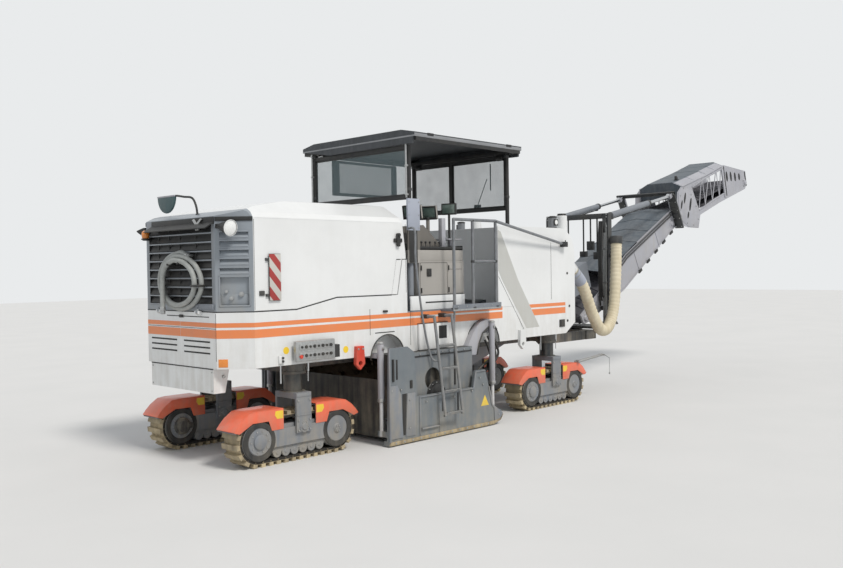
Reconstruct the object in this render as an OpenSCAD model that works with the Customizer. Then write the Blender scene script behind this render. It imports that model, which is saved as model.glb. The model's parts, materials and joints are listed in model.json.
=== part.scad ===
/* [Body] */
// Half the width over the body sides
body_half_w = 1040; // [1000:5:1060]
// Half the width of the flat rear face
rear_face_half_w = 740; // [700:10:780]
// Depth of the slanted rear corners along the machine
corner_depth = 300; // [260:10:340]
// Height of the underside of the body
body_bottom = 1130; // [1110:5:1150]
// Height of the hood seam at the rear
seam_low = 1767; // [1740:1:1790]
// Height of the hood seam ahead of its step
seam_high = 1885; // [1860:1:1900]
// Gap between the hood and the body below it
seam_gap = 8; // [6:1:12]
// Height of the rear top edge
rear_top = 2830; // [2780:5:2860]
// Height of the body sides below the roof bevel
shoulder = 2815; // [2780:5:2840]
// Height of the hood at its middle
crown = 3080; // [3040:5:3120]
// Distance from the rear face to the front edge of the hood
hood_len = 2710; // [2660:5:2740]
// Thickness of the hood skin with its stiffeners
hood_wall = 40; // [30:1:50]
// Distance from the rear face to the front face of the body
body_len = 6575; // [6520:5:6640]
// Height of the front body
front_top = 2820; // [2760:5:2860]
// Depth of the box below the rear face
rear_box_depth = 210; // [180:10:400]
// Width of the box below the rear face
rear_box_w = 1340; // [1200:10:1400]

/* [Grille] */
// Number of slats in the rear grille
slat_count = 9; // [6:1:12]
// Half the width of the grille
grille_half_w = 715; // [680:5:720]
// Thickness of a slat
slat_t = 18; // [12:1:24]

/* [Platform] */
// Height of the platform floor
floor_z = 1660; // [1640:5:1700]
// Thickness of the platform floor
floor_t = 30; // [20:2:40]
// Width of the step board outside the body
board_w = 230; // [180:10:260]
// Height of the handrails
rail_top = 2870; // [2780:10:2920]
// Diameter of the handrail tube
rail_d = 42; // [34:1:50]

/* [Canopy] */
// Height of the roof at its middle
canopy_top = 4045; // [4000:5:4080]
// Length of the canopy roof
canopy_len = 2270; // [2200:10:2350]
// Width of the canopy roof
canopy_w = 2300; // [2200:10:2360]
// Travel of the canopy when it is lowered
canopy_drop = 650; // [500:10:660]

/* [Milling drum] */
// Diameter over the tool tips
drum_d = 1020; // [980:5:1020]
// Milling width
drum_w = 1960; // [1900:10:1970]
// Distance from the rear face to the drum axis
drum_from_rear = 3000; // [2980:5:3020]
// Gap between the parked tool tips and the ground
drum_ground_gap = 35; // [20:1:60]
// Tool rows on each half of the drum
tool_rows = 22; // [12:1:26]

/* [Side plates] */
// Distance from the machine's middle to the outer face of a side plate
plate_outer = 1300; // [1290:1:1310]
// Thickness of a side plate
plate_t = 35; // [25:1:40]
// Height of the side plates above the ground
plate_ground_gap = 15; // [10:1:30]

/* [Tracks] */
// Length of a track over its shoes
track_len = 1730; // [1700:5:1760]
// Height of a track over its shoes
track_h = 590; // [570:5:610]
// Width of a track
track_w = 300; // [280:5:310]
// Distance from the machine's middle to a track's middle
track_y = 817; // [810:1:830]
// Number of shoes on a track
shoe_count = 36; // [30:1:40]
// Diameter of a lifting column
column_d = 220; // [200:2:230]
// Wall of a column's guide tube
guide_wall = 38; // [30:1:42]
// Radial clearance of a column in its guide
column_fit = 0.3; // [0.2:0.1:0.5]

/* [Conveyor] */
// Distance from the rear face to the slewing axis
slew_from_rear = 7900; // [7880:5:7920]
// Diameter of the slewing bearing
slew_d = 420; // [380:5:440]
// Width of the discharge conveyor over its side sheets
boom_w = 960; // [900:5:970]
// Thickness of the conveyor side sheets
sheet_t = 12; // [8:1:16]
// Slope of the inner boom
boom_tilt = 29; // [27:0.5:30]
// Slope of the outer boom
tip_tilt = 15; // [13:0.5:16]
// Diameter of the suction hose
suction_d = 200; // [180:5:210]

/* [Hidden] */
$fn = 48;
white = "#e9e7e1";
pale_grey = "#a9adb4";
mid_grey = "#7d8288";
dark_grey = "#34383c";
seat_gap = 0.3;

// Places along the machine, measured forward from the rear face
slew_x = slew_from_rear;
pivot_x = slew_x + 350;
pivot_z = 1450;
knuckle_u = 3312;
knuckle_x = pivot_x + knuckle_u * cos(boom_tilt);
knuckle_z = pivot_z + knuckle_u * sin(boom_tilt);
inner_belt_u0 = -540;
inner_belt_u1 = knuckle_u - 250;
tip_len = 3460;
nose_v = 120;
tip_x = knuckle_x + tip_len * cos(tip_tilt) - nose_v * sin(tip_tilt);
// The hooks of the hose coil reach farthest back
coil_z = 2105;
coil_x = -95;
hook_tip_x = coil_x - 62;
// Shift that puts the middle of the whole length at the origin
shift_x = -(tip_x + hook_tip_x) / 2;

drum_x = drum_from_rear;
drum_z = drum_d / 2 + drum_ground_gap;
track_xs = [950, 6040];
column_ahead = 40;
plate_cylinder_xs = [2110, 4300];
plate_cylinder_tops = [1300, 1450];
plate_lug_tops = [1160, 1340];
plate_cylinder_d = 84;
plate_rod_d = 50;
rear_box_taper = 60;
plate_cylinder_y = 1150;
post_d = 60;
post_xs = [2850, 4930];
post_y = 966;
canopy_x0 = 2780;
skirt_z = 3940;
screen_bottoms = [3180, 3110];
screen_tops = [3800, 3830];
screen_bar = 50;
post_bottom = floor_z + canopy_drop + 20;
sleeve_h = 745;
well_half_w = post_y + post_d / 2 + 12 + seat_gap;
well_x1 = 5000;
hinge_x = -30;
hinge_z = seam_low - 5;
fold_pin_d = 50;
yoke_top = 790;
guide_bottom = 1000;
beam_outer_y = 600;
beam_inner_y = 500;
front_beam_z = 940;
front_beam_top = 1090;
corner_slot_w = 320;
front_body_rear = 4600;
mid_top = 1630;
board_x0 = 3350;
board_x1 = 4380;
house_x0 = 2250;
house_x1 = 3800;
scraper_x = house_x0 + 18;
house_in = drum_w / 2 + 20;
house_out = plate_outer - plate_t - 60;
mast_y = boom_w / 2 + 130;
primary_half_w = 420;
primary_tilt = atan2(1350, 4000);

module from_rear() {
    translate([shift_x, 0, 0]) children();
}

module both_sides() {
    children();
    mirror([0, 1, 0]) children();
}

// Block between two opposite corners
module block(low, high) {
    translate(low) cube(high - low);
}

// Outline drawn in X and Z, extruded across the machine from y0 to y1
module slab_xz(points, y0, y1) {
    translate([0, y1, 0]) rotate([90, 0, 0]) linear_extrude(y1 - y0) polygon(points);
}

// Round bar between two points
module bar(from, to, d) {
    v = to - from;
    translate(from) rotate([0, acos(v[2] / norm(v)), atan2(v[1], v[0])]) cylinder(d = d, h = norm(v));
}

// Bent tube through a list of points, with a ball in each bend
module tube_path(points, d) {
    for (i = [0 : len(points) - 2]) bar(points[i], points[i + 1], d);
    for (i = [1 : len(points) - 2]) translate(points[i]) sphere(d = d + 1);
}

// Round bar across the machine
module cross_bar(x, z, y0, y1, d) {
    translate([x, y1, z]) rotate([90, 0, 0]) cylinder(d = d, h = y1 - y0);
}

// Body outline seen from above, drawn in by a margin
module body_plan(margin, x1) {
    e = rear_face_half_w - margin * 0.4;
    w = body_half_w - margin;
    polygon([
        [margin, -e], [corner_depth + margin * 0.4, -w], [x1, -w], [x1, w],
        [corner_depth + margin * 0.4, w], [margin, e]
    ]);
}

// Roof line of the hood seen from the side, above height z0
function hood_side(margin, z0) = [
    [margin, z0], [margin, rear_top - margin], [440, rear_top + 120 - margin],
    [1090, crown - 25 - margin], [hood_len - 110, crown - margin],
    [hood_len - margin, 2300], [hood_len - margin, z0]
];

// Section of the hood with its bevelled shoulders
function hood_section(margin) = [
    [-body_half_w + margin, 0], [-body_half_w + margin, shoulder - margin / 2],
    [-body_half_w + 45 + margin, shoulder + 60 - margin], [-720, crown - 45 - margin],
    [-400, crown - 8 - margin], [400, crown - 8 - margin], [720, crown - 45 - margin],
    [body_half_w - 45 - margin, shoulder + 60 - margin],
    [body_half_w - margin, shoulder - margin / 2], [body_half_w - margin, 0]
];

module hood_solid(margin, z0) {
    intersection() {
        slab_xz(hood_side(margin, z0), -body_half_w, body_half_w);
        translate([0, 0, z0]) linear_extrude(crown) body_plan(margin, hood_len);
        rotate([90, 0, 90]) linear_extrude(hood_len + 1) polygon(hood_section(margin));
    }
}

module hood_shape() {
    difference() {
        hood_solid(0, seam_low);
        hood_solid(hood_wall, seam_low - 1);
        slab_xz([
            [890, seam_low - 1], [1505, seam_high], [hood_len - 180, seam_high],
            [hood_len - 90, 2340], [hood_len + 1, 2340], [hood_len + 1, seam_low - 1]
        ], -body_half_w - 1, body_half_w + 1);
    }
}

module hood_shell() color(white) from_rear() {
    difference() {
        hood_shape();
        block([-1, -body_half_w - 1, seam_low - 1], [corner_depth, body_half_w + 1, crown + 1]);
    }
}

module rear_cowl() color(pale_grey) from_rear() {
    louvre_pitch = 100;
    difference() {
        intersection() {
            hood_shape();
            block([0, -body_half_w, seam_low], [corner_depth, body_half_w, crown]);
        }
        block([-1, -grille_half_w, seam_low + 60], [hood_wall + 1, grille_half_w, rear_top - 90]);
        both_sides() corner_cut(seam_low + 70, 2150);
        for (k = [0 : 4]) both_sides() corner_cut(2190 + k * louvre_pitch, 2250 + k * louvre_pitch);
    }
    both_sides() difference() {
        slab_xz([[hinge_x - 20, hinge_z - 12], [hinge_x + 14, hinge_z - 12], [hinge_x + 24, seam_low + 2],
                 [0.5, seam_low + 2], [0.5, seam_low + 50], [hinge_x - 20, hinge_z + 20]], -440, -400);
        cross_bar(hinge_x, hinge_z, -441, -399, 20 + 2 * seat_gap);
    }
    both_sides() corner_slats(louvre_pitch);
    both_sides() pocket_floor();
}

// Slot cut square through a rear corner panel between two heights
module corner_cut(z0, z1) {
    corner_place() block([-80, -corner_slot_w / 2, z0], [80, corner_slot_w / 2, z1]);
}

// Middle of a corner panel, with X pointing out of it
module corner_place() {
    turn = atan2(-corner_depth, rear_face_half_w - body_half_w);
    translate([corner_depth / 2, -(body_half_w + rear_face_half_w) / 2, 0])
        rotate([0, 0, turn]) children();
}

module corner_slats(pitch) {
    corner_place() for (k = [0 : 4])
        block([-hood_wall - 8, -corner_slot_w / 2 - 8, 2190 + k * pitch],
              [-hood_wall + 4, corner_slot_w / 2 + 8, 2250 + k * pitch]);
}

module pocket_floor() {
    corner_place() block([-hood_wall - 8, -corner_slot_w / 2 - 8, seam_low + 62],
                         [-hood_wall + 4, corner_slot_w / 2 + 8, 2158]);
}

module grille() color(dark_grey) from_rear() {
    z0 = seam_low + 60 + seat_gap;
    z1 = rear_top - 90 - seat_gap;
    pitch = (z1 - z0) / slat_count;
    back = 50;
    difference() {
        block([0, -grille_half_w + seat_gap, z0], [back, grille_half_w - seat_gap, z1]);
        for (k = [0 : slat_count - 1])
            block([-1, -grille_half_w + 40, z0 + k * pitch + slat_t],
                  [back - 14, grille_half_w - 40, z0 + (k + 1) * pitch]);
    }
    for (y = [-200, 20]) bar([0.5, y, coil_z + 250 - 12 - seat_gap], [hook_tip_x, y, coil_z + 250 - 12 - seat_gap], 24);
    slab_xz([[-120, rear_top - 130], [-112, rear_top - 140], [-0.5, rear_top - 70], [-0.5, rear_top - 60]],
            -rear_face_half_w, rear_face_half_w);
}

module lower_body() color(white) from_rear() {
    difference() {
        intersection() {
            slab_xz([
                [0, body_bottom], [0, seam_low - seam_gap], [890, seam_low - seam_gap],
                [1505, seam_high - seam_gap], [hood_len - 168, seam_high - seam_gap],
                [hood_len - 80, 2340 - seam_gap], [hood_len, 2340 - seam_gap], [hood_len, mid_top],
                [5000, mid_top], [5235, body_bottom]
            ], -body_half_w, body_half_w);
            translate([0, 0, 500]) linear_extrude(crown) body_plan(0, body_len);
        }
        both_sides() leg_bore(0);
        both_sides() arch([2040, 2640], 1380);
        both_sides() arch([3870, 4605], 1474);
        primary_channel();
    }
    slab_xz([[0, 850], [rear_box_depth - rear_box_taper, 850], [rear_box_depth, body_bottom + 1],
             [0, body_bottom + 1]], -rear_box_w / 2, rear_box_w / 2);
    both_sides() {
        for (y = [-460, -399]) slab_xz([[hinge_x - 18, hinge_z - 20], [0.5, hinge_z - 45], [0.5, seam_low - seam_gap],
                                       [hinge_x + 14, hinge_z + 12], [hinge_x - 18, hinge_z + 12]], y, y + 19);
        cross_bar(hinge_x, hinge_z, -450, -390, 20);
    }
}

// Round-topped recess in the body side over a side plate cylinder
module arch(xs, top) {
    r = (xs[1] - xs[0]) / 2;
    translate([(xs[0] + xs[1]) / 2, -body_half_w + 130, 0]) rotate([90, 0, 0]) union() {
        translate([0, top - r, 0]) cylinder(r = r, h = 200);
        translate([-r, 0, 0]) cube([2 * r, top - r, 200]);
    }
}

module leg_bore(row) {
    translate([track_xs[row] + column_ahead, -track_y, body_bottom - 1])
        cylinder(d = column_d + 2 * guide_wall + 4, h = 600);
}

// Tunnel under the front body for the primary conveyor
module primary_channel() {
    slab_xz([
        [3700, 0], [3700, 1300], [body_len + 10, 2230], [body_len + 10, 0]
    ], -primary_half_w - 60, primary_half_w + 60);
}

module front_body() color(white) from_rear() {
    difference() {
        slab_xz(concat([
            [front_body_rear, mid_top + 2], [front_body_rear, front_top], [body_len - 395, front_top]
        ], [for (a = [75 : -15 : 15]) [body_len - 395 + 395 * cos(a), front_top - 420 + 420 * sin(a)]], [
            [body_len, front_top - 520], [body_len, body_bottom + 180],
            [body_len - 265, body_bottom + 15], [5235, body_bottom + 15], [5004, mid_top + 2]
        ]), -body_half_w, body_half_w);
        both_sides() leg_bore(1);
        primary_channel();
        block([front_body_rear - 1, -well_half_w, mid_top], [well_x1, well_half_w, front_top + 1]);
    }
    bar(hose_start - 190 * hose_start_way, hose_start - seat_gap * hose_start_way, suction_d + 16);
}

module engine_block() color(mid_grey) from_rear() {
    block([500, -450, seam_high - seam_gap + seat_gap], [2300, 450, seam_high + 750]);
}

module chassis_frame() color(dark_grey) from_rear() {
    for (row = [0, 1]) {
        x = track_xs[row] + column_ahead;
        difference() {
            union() {
                both_sides() translate([x, -track_y, guide_bottom]) cylinder(d = column_d + 2 * guide_wall, h = 640);
                block([x - 110, -track_y + 60, guide_bottom + 20], [x + 110, track_y - 60, body_bottom - 0.5]);
            }
            both_sides() translate([x, -track_y, guide_bottom - 1])
                cylinder(d = column_d + 2 * column_fit, h = 642);
        }
    }
    both_sides() {
        block([track_xs[0] + column_ahead + 110, -beam_outer_y, guide_bottom + 20],
              [house_x0, -beam_inner_y, body_bottom - 0.5]);
        block([house_x1, -beam_outer_y, guide_bottom + 20],
              [track_xs[1] + column_ahead - 110, -beam_inner_y, body_bottom - 0.5]);
    }
}

module front_frame() color(dark_grey) from_rear() {
    front_x = track_xs[1] + column_ahead + 110 + seat_gap;
    both_sides()
        slab_xz([[front_x, guide_bottom + 20], [front_x + 110, front_beam_z], [slew_x - 60, front_beam_z],
                 [slew_x - 60, front_beam_top], [front_x, front_beam_top]], -beam_outer_y, -beam_inner_y);
    block([slew_x - 360, -beam_outer_y - 20, front_beam_z], [slew_x - 60, beam_outer_y + 20, front_beam_top]);
    translate([slew_x, 0, front_beam_z]) cylinder(d = slew_d + 80, h = front_beam_top - front_beam_z);
    translate([slew_x, 0, 1000]) cylinder(d = slew_d - 120, h = 148);
}

module platform() color(mid_grey) from_rear() {
    low = floor_z - floor_t;
    block([hood_len + 2, -body_half_w, low + 0.3], [front_body_rear - 2, body_half_w, floor_z]);
    block([front_body_rear - 3, -well_half_w + seat_gap, low + 0.3], [well_x1 - 2, well_half_w - seat_gap, floor_z]);
    both_sides() {
        block([board_x0, -body_half_w - board_w, low], [board_x1, -body_half_w + 1, floor_z]);
        block([board_x0, -body_half_w - board_w, floor_z - 1], [board_x1, -body_half_w - board_w + 8, floor_z + 60]);
        for (x = post_xs) difference() {
            translate([x, -post_y, floor_z - 1]) cylinder(d = post_d + 24, h = sleeve_h);
            translate([x, -post_y, floor_z]) cylinder(d = post_d + 2 * seat_gap, h = sleeve_h + 1);
        }
    }
}

module consoles() color("#b9b5a8") from_rear() {
    face = -body_half_w + 5;
    both_sides() {
        block([2950, face, floor_z], [3840, -500, 2312]);
        slab_xz([[3000, 2310], [3000, 2700], [3080, 2790], [3160, 2800], [3560, 2480], [3760, 2310]],
                -body_half_w + 120, -520);
        block([2745, -body_half_w, 2290], [2965, -body_half_w + 24, 3130]);
        for (x = [3120, 3420]) {
            translate([x, -760, 2980]) rotate([0, -12, 20]) block([-22, -135, -92], [22, 135, 92]);
            bar([x, -760, 2400], [x, -760, 2895], 50);
        }
    }
}

module railings() color(pale_grey) from_rear() {
    y = -body_half_w - board_w + 8 + rail_d / 2 + seat_gap;
    both_sides() {
        tube_path([[board_x0 + 60, y, floor_z], [board_x0 + 60, y, rail_top], [4300, y, rail_top],
                   [6200, -body_half_w - 60, 2560]], rail_d);
        block([6180, -body_half_w - 80, 2530], [6260, -body_half_w - 0.3, 2590]);
        for (x = [3800, 4300]) bar([x, y, floor_z], [x, y, rail_top], rail_d);
        bar([3800, y, 2300], [4300, y, 2300], rail_d - 8);
        translate([6090, -body_half_w + 80, front_top + seat_gap]) cylinder(d = 130, h = 180);
    }
}

module ladders() color(pale_grey) from_rear() {
    both_sides() {
        for (x = [2980, 3320]) tube_path([[x, -body_half_w, floor_z - 80], [x, -1265, floor_z - 80],
                                          [x, -1440, 290]], 40);
        for (z = [314, 600, 895, 1190]) {
            y = -1265 - 175 * (floor_z - 80 - z) / (floor_z - 370);
            bar([2980, y, z], [3320, y, z], 30);
        }
    }
}

module drum_housing() color(mid_grey) from_rear() {
    difference() {
        union() {
            both_sides() block([house_x0, -house_out, 330], [house_x1, -house_in, body_bottom - 0.5]);
            block([house_x0, -house_in - 1, body_bottom - 40], [house_x1, house_in + 1, body_bottom - 0.5]);
            block([house_x1 - 30, -house_in - 1, 330], [house_x1, house_in + 1, body_bottom - 20]);
        }
        block([house_x1 - 40, -primary_half_w - seat_gap, 329], [house_x1 + 10, primary_half_w + seat_gap, 900]);
        both_sides() translate([drum_x, -house_out - 1, 760]) rotate([-90, 0, 0]) cylinder(r = 150, h = 90);
        both_sides() block([scraper_x - seat_gap, -house_in - 14 - seat_gap, 0],
                           [scraper_x + 30 + seat_gap, -house_in + 1, body_bottom - 10]);
    }
    both_sides() cross_bar(drum_x, drum_z, -house_in - 1, -drum_w / 2 - seat_gap, 300);
}

module milling_drum() color("#6b5b4c") from_rear() {
    hub_r = drum_d / 2 - 110;
    turns = 1.4;
    pitch = drum_w / 2 / tool_rows;
    translate([drum_x, 0, drum_z]) {
        rotate([90, 0, 0]) difference() {
            cylinder(r = hub_r, h = drum_w, center = true);
            cylinder(r = hub_r - 40, h = drum_w - 60, center = true);
        }
        for (side = [-1, 1], start = [0, 120, 240], k = [0 : tool_rows - 1])
            translate([0, side * (pitch * (k + 0.5)), 0])
                rotate([0, start + side * k * 360 * turns / tool_rows, 0]) drum_tool(hub_r);
    }
}

module drum_tool(hub_r) {
    translate([hub_r - 12, 0, 0]) rotate([0, 90, 0]) {
        translate([-28, -16, 0]) cube([56, 32, 60]);
        translate([0, 0, 60]) cylinder(d1 = 32, d2 = 8, h = 62, $fn = 6);
    }
}

module scraper() color(mid_grey) from_rear() {
    x = scraper_x;
    slab_xz([[x, 60], [x + 62, 40], [x + 62, 60], [x + 30, 90], [x + 30, 800], [x, 800]], -house_in + 4, house_in - 4);
    both_sides() block([x, -house_in - 14, 335], [x + 30, -house_in + 5, 800]);
}

module side_plate(side) color(mid_grey) from_rear() mirror([0, side > 0 ? 1 : 0, 0]) {
    low = plate_ground_gap;
    slab_xz([
        [2085, low], [4150, low], [4290, low + 40], [4350, low + 130], [4120, 300], [3960, 800],
        [3750, 800], [3700, 580], [2600, 580], [2560, 1150], [2440, 1230], [2120, 1230]
    ], -plate_outer, -plate_outer + plate_t);
    block([2085, -plate_outer + plate_t, low], [4100, -plate_outer + plate_t + 50, low + 60]);
    for (x = plate_cylinder_xs) {
        block([max(x - 55, 2095), -plate_outer + plate_t - 1, 120], [x + 55, -plate_cylinder_y + 55, 190]);
        translate([x, -plate_cylinder_y, 189]) cylinder(d = plate_rod_d, h = 640);
    }
}

module plate_cylinders() color(pale_grey) from_rear() {
    both_sides() for (k = [0, 1]) {
        x = plate_cylinder_xs[k];
        top = plate_cylinder_tops[k];
        difference() {
            translate([x, -plate_cylinder_y, 560]) cylinder(d = plate_cylinder_d, h = top - 560);
            translate([x, -plate_cylinder_y, 559]) cylinder(d = plate_rod_d + 2 * seat_gap, h = top - 600);
        }
        lug = plate_lug_tops[k];
        block([x - 40, -plate_cylinder_y + 35, lug - 60], [x + 40, -body_half_w + 129.7, lug]);
    }
}

module side_controls() color(dark_grey) from_rear() {
    both_sides() block([870, -body_half_w - 90, 1175], [1460, -body_half_w - 0.5, 1325]);
}

module lifting_lugs() color("#d8402a") from_rear() {
    both_sides() for (x = [1830, 5120]) difference() {
        slab_xz([[x - 60, 1270], [x + 60, 1270], [x + 75, 1050], [x, 980], [x - 75, 1050]],
                -body_half_w - 50, -body_half_w - 0.5);
        cross_bar(x, 1060, -body_half_w - 60, -body_half_w + 10, 60);
    }
}

module primary_conveyor() color(mid_grey) from_rear() {
    length = 4450;
    translate([house_x1 + 2, 0, 420]) rotate([0, -primary_tilt, 0]) difference() {
        slab_xz([[0, 0], [length, 0], [length, 470], [300, 470], [0, 420]], -primary_half_w, primary_half_w);
        slab_xz([[-10, 60], [length - 60, 60], [length - 60, 430], [-10, 430]],
                -primary_half_w + 20, primary_half_w - 20);
        slab_xz([[length - 420, -10], [length - 60, -10], [length - 60, 70], [length - 420, 70]],
                -primary_half_w + 20, primary_half_w - 20);
    }
}

module rear_lamps() color(dark_grey) from_rear() {
    both_sides() corner_place()
        slab_xz([[seat_gap, 2665], [90, 2680], [150, 2720], [60, 2760], [seat_gap, 2765]], -110, 110);
}

module rear_mirror() color(dark_grey) from_rear() {
    x = 200;
    foot = rear_top + 120 * x / 440 + 4;
    tube_path([[x, 500, foot], [x, 500, 3150], [x, 700, 3150]], 24);
    translate([x, 760, 3150]) rotate([0, 90, 0]) intersection() {
        cylinder(r = 150, h = 40, center = true);
        translate([0, -160, -50]) cube([160, 320, 100]);
    }
}

// Outline of a hank with round ends, drawn in Y and Z
module hank_outline(w, h) {
    hull() for (s = [-1, 1]) translate([s * (w - h) / 2, 0]) circle(d = h);
}

module hose_coil() color("#b9b9b4") from_rear() {
    translate([coil_x - 55, -90, coil_z]) rotate([90, 0, 90]) linear_extrude(110) difference() {
        hank_outline(950, 700);
        hank_outline(950 - 200, 700 - 200);
    }
}

hose_route = [[coil_x, 340, 1925], [coil_x - 15, 290, 1850], [coil_x - 30, 220, 1770], [coil_x - 36, 160, 1692]];

module hose_tail() color("#b9b9b4") from_rear() sweep(smooth_curve(hose_route, 4), 50, 10, [1, 0, 0]);

// Roof section across the machine, drawn in by a margin
function roof_section(margin) = let (half = canopy_w / 2 - margin) [
    [-half, skirt_z - margin / 10], [-half, canopy_top - 50 - margin], [-half + 250, canopy_top - margin],
    [half - 250, canopy_top - margin], [half, canopy_top - 50 - margin], [half, skirt_z - margin / 10]
];

module canopy_roof() color(dark_grey) from_rear() {
    difference() {
        translate([canopy_x0, 0, 0]) rotate([90, 0, 90]) linear_extrude(canopy_len) polygon(roof_section(0));
        translate([canopy_x0 + 30, 0, 0]) rotate([90, 0, 90]) linear_extrude(canopy_len - 60)
            polygon(roof_section(30));
    }
    for (x = [canopy_x0, canopy_x0 + canopy_len - 30]) translate([x, 0, 0]) rotate([90, 0, 90])
        linear_extrude(30) polygon([[-1100, 3850], [580, 3850], [1120, skirt_z + 1], [-1120, skirt_z + 1]]);
}

module canopy_frame() color(dark_grey) from_rear() {
    x0 = canopy_x0 + 30 + seat_gap;
    x1 = canopy_x0 + canopy_len - 30 - seat_gap;
    top = skirt_z - seat_gap;
    half = canopy_w / 2;
    both_sides() {
        block([x0, -half, top - 50], [x1, -half + 40, top]);
        for (x = post_xs) bar([x, -post_y, post_bottom], [x, -post_y, top - 10], post_d);
    }
    for (x = [x0, x1 - 40]) block([x, -half, top - 50], [x + 40, half, top]);
    for (k = [0, 1]) {
        x = post_xs[k];
        block([x - 25, -half + 1, top - 50], [x + 25, half - 1, top]);
        block([x - 20, -post_y, screen_bottoms[k] - screen_bar], [x + 20, post_y, screen_bottoms[k]]);
        block([x - 20, -post_y, screen_tops[k]], [x + 20, post_y, screen_tops[k] + screen_bar]);
    }
    block([post_xs[1] - 20, 110, screen_bottoms[1] - 1], [post_xs[1] + 20, 160, screen_tops[1] + 1]);
}

module canopy_screens() color("#9fb4ba") from_rear() {
    edge = post_y - post_d / 2 - seat_gap;
    spans = [[0, -edge, edge], [1, -edge, 110 - seat_gap], [1, 160 + seat_gap, edge]];
    for (span = spans) {
        x = post_xs[span[0]];
        block([x - 4, span[1], screen_bottoms[span[0]] + seat_gap],
              [x + 4, span[2], screen_tops[span[0]] - seat_gap]);
    }
}

// Closed loop of a track with its shoes, standing on the ground and drawn in X and Z
module track_outline() {
    r = track_h / 2 - 40;
    half = track_len / 2 - track_h / 2;
    run = 2 * half;
    total = 2 * run + 2 * PI * r;
    difference() {
        hull() for (s = [-1, 1]) translate([s * half, 0]) circle(r = r);
        hull() for (s = [-1, 1]) translate([s * half, 0]) circle(r = r - 32);
    }
    for (k = [0 : shoe_count - 1]) shoe_place(total * k / shoe_count, run, r, half) translate([0, 17])
        polygon([[-26, -20], [26, -20], [30, 23], [-30, 23]]);
}

module shoe_place(s, run, r, half) {
    arc = PI * r;
    if (s < run) translate([s - half, r]) children();
    else if (s < run + arc) translate([half, 0]) rotate(-(s - run) / r * 180 / PI) translate([0, r]) children();
    else if (s < 2 * run + arc) translate([half - (s - run - arc), -r]) rotate(180) children();
    else translate([-half, 0]) rotate(180 - (s - 2 * run - arc) / r * 180 / PI) translate([0, r]) children();
}

module track_place(row, side) {
    from_rear() translate([track_xs[row], side * track_y, 0]) mirror([0, side > 0 ? 1 : 0, 0]) children();
}

module track_loop(row, side) color("#8f8468") track_place(row, side) {
    translate([0, track_w / 2, track_h / 2]) rotate([90, 0, 0]) linear_extrude(track_w) track_outline();
}

module track_frame(row, side) color(mid_grey) track_place(row, side) {
    half = track_len / 2 - track_h / 2;
    in_r = track_h / 2 - 40 - 32 - 1;
    out = track_w / 2 + 20;
    translate([0, 0, track_h / 2]) {
        for (s = [-1, 1]) cross_bar(s * half, 0, -out + 6, out - 6, 2 * in_r);
        block([-half, -out + 30, -in_r + 70], [half, out - 30, in_r - 70]);
        for (x = [-half + 260 : 125 : half - 220]) cross_bar(x, -in_r + 60, -out + 34, out - 34, 118);
        both_sides() block([-half + 100, -out, -90], [half - 100, -out + 32, 110]);
    }
    both_sides() {
        block([-110 + column_ahead, -out - 32, 330], [110 + column_ahead, -out, yoke_top]);
    }
    block([-110 + column_ahead, -out, yoke_top - 70], [110 + column_ahead, out, yoke_top]);
    for (s = [-1, 1]) mirror([s > 0 ? 0 : 1, 0, 0]) fender(half, out);
}

module fender(half, out) {
    z1 = track_h + 22;
    slab_xz([
        [half - 330, z1], [half + 120, z1], [half + 325, z1 - 190], [half + 333, z1 - 182],
        [half + 124, z1 + 10], [half - 330, z1 + 10]
    ], -out, out);
    both_sides() slab_xz([
        [half - 330, z1 + 10], [half + 124, z1 + 10], [half + 333, z1 - 182], [half + 250, z1 - 190],
        [half + 90, z1 - 90], [half - 130, z1 - 90], [half - 170, track_h / 2 + 100],
        [half - 330, track_h / 2 + 100]
    ], -out, -out + 10);
}

module leg(row, side) color(dark_grey) track_place(row, side) {
    translate([column_ahead, 0, yoke_top + seat_gap]) cylinder(d = column_d, h = 620);
}

// Place on the inner boom, with X along its slope
module inner_place() {
    from_rear() translate([pivot_x, 0, pivot_z]) rotate([0, -boom_tilt, 0]) children();
}

module outer_place() {
    from_rear() translate([knuckle_x, 0, knuckle_z]) rotate([0, -tip_tilt, 0]) children();
}

module slew_mast() color(dark_grey) from_rear() {
    difference() {
        union() {
            translate([slew_x, 0, 1090 + seat_gap]) cylinder(d = slew_d, h = 60 - seat_gap);
            block([slew_x - 150, -mast_y - 60, 1110], [pivot_x + 60, mast_y + 60, 1150]);
        }
        translate([slew_x, 0, 1080]) cylinder(d = slew_d - 120 + 2 * seat_gap, h = 100);
    }
    both_sides() block([pivot_x - 60, -mast_y - 60, 1149], [pivot_x + 60, -mast_y + 60, 3100]);
    block([pivot_x - 50, -mast_y - 60, 3060], [pivot_x + 50, mast_y + 60, 3150]);
    both_sides() {
        cross_bar(pivot_x, pivot_z, -mast_y, -boom_w / 2 + 40, 80);
        for (y = [-lift_y - 50, -lift_y + 34]) block([pivot_x + 40, y, 3070], [lift_foot[0] + 35, y + 16, 3140]);
        cross_bar(lift_foot[0], lift_foot[1], -lift_y - 48, -lift_y + 48, lift_pin_d);
    }
    bar(hose_end + seat_gap * hose_end_way, hose_end + 130 * hose_end_way, suction_d + 16);
    block([pivot_x - 40, hose_end[1], hose_end[2] + 40], [pivot_x + 40, -mast_y - 50, hose_end[2] + 100]);
}

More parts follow.
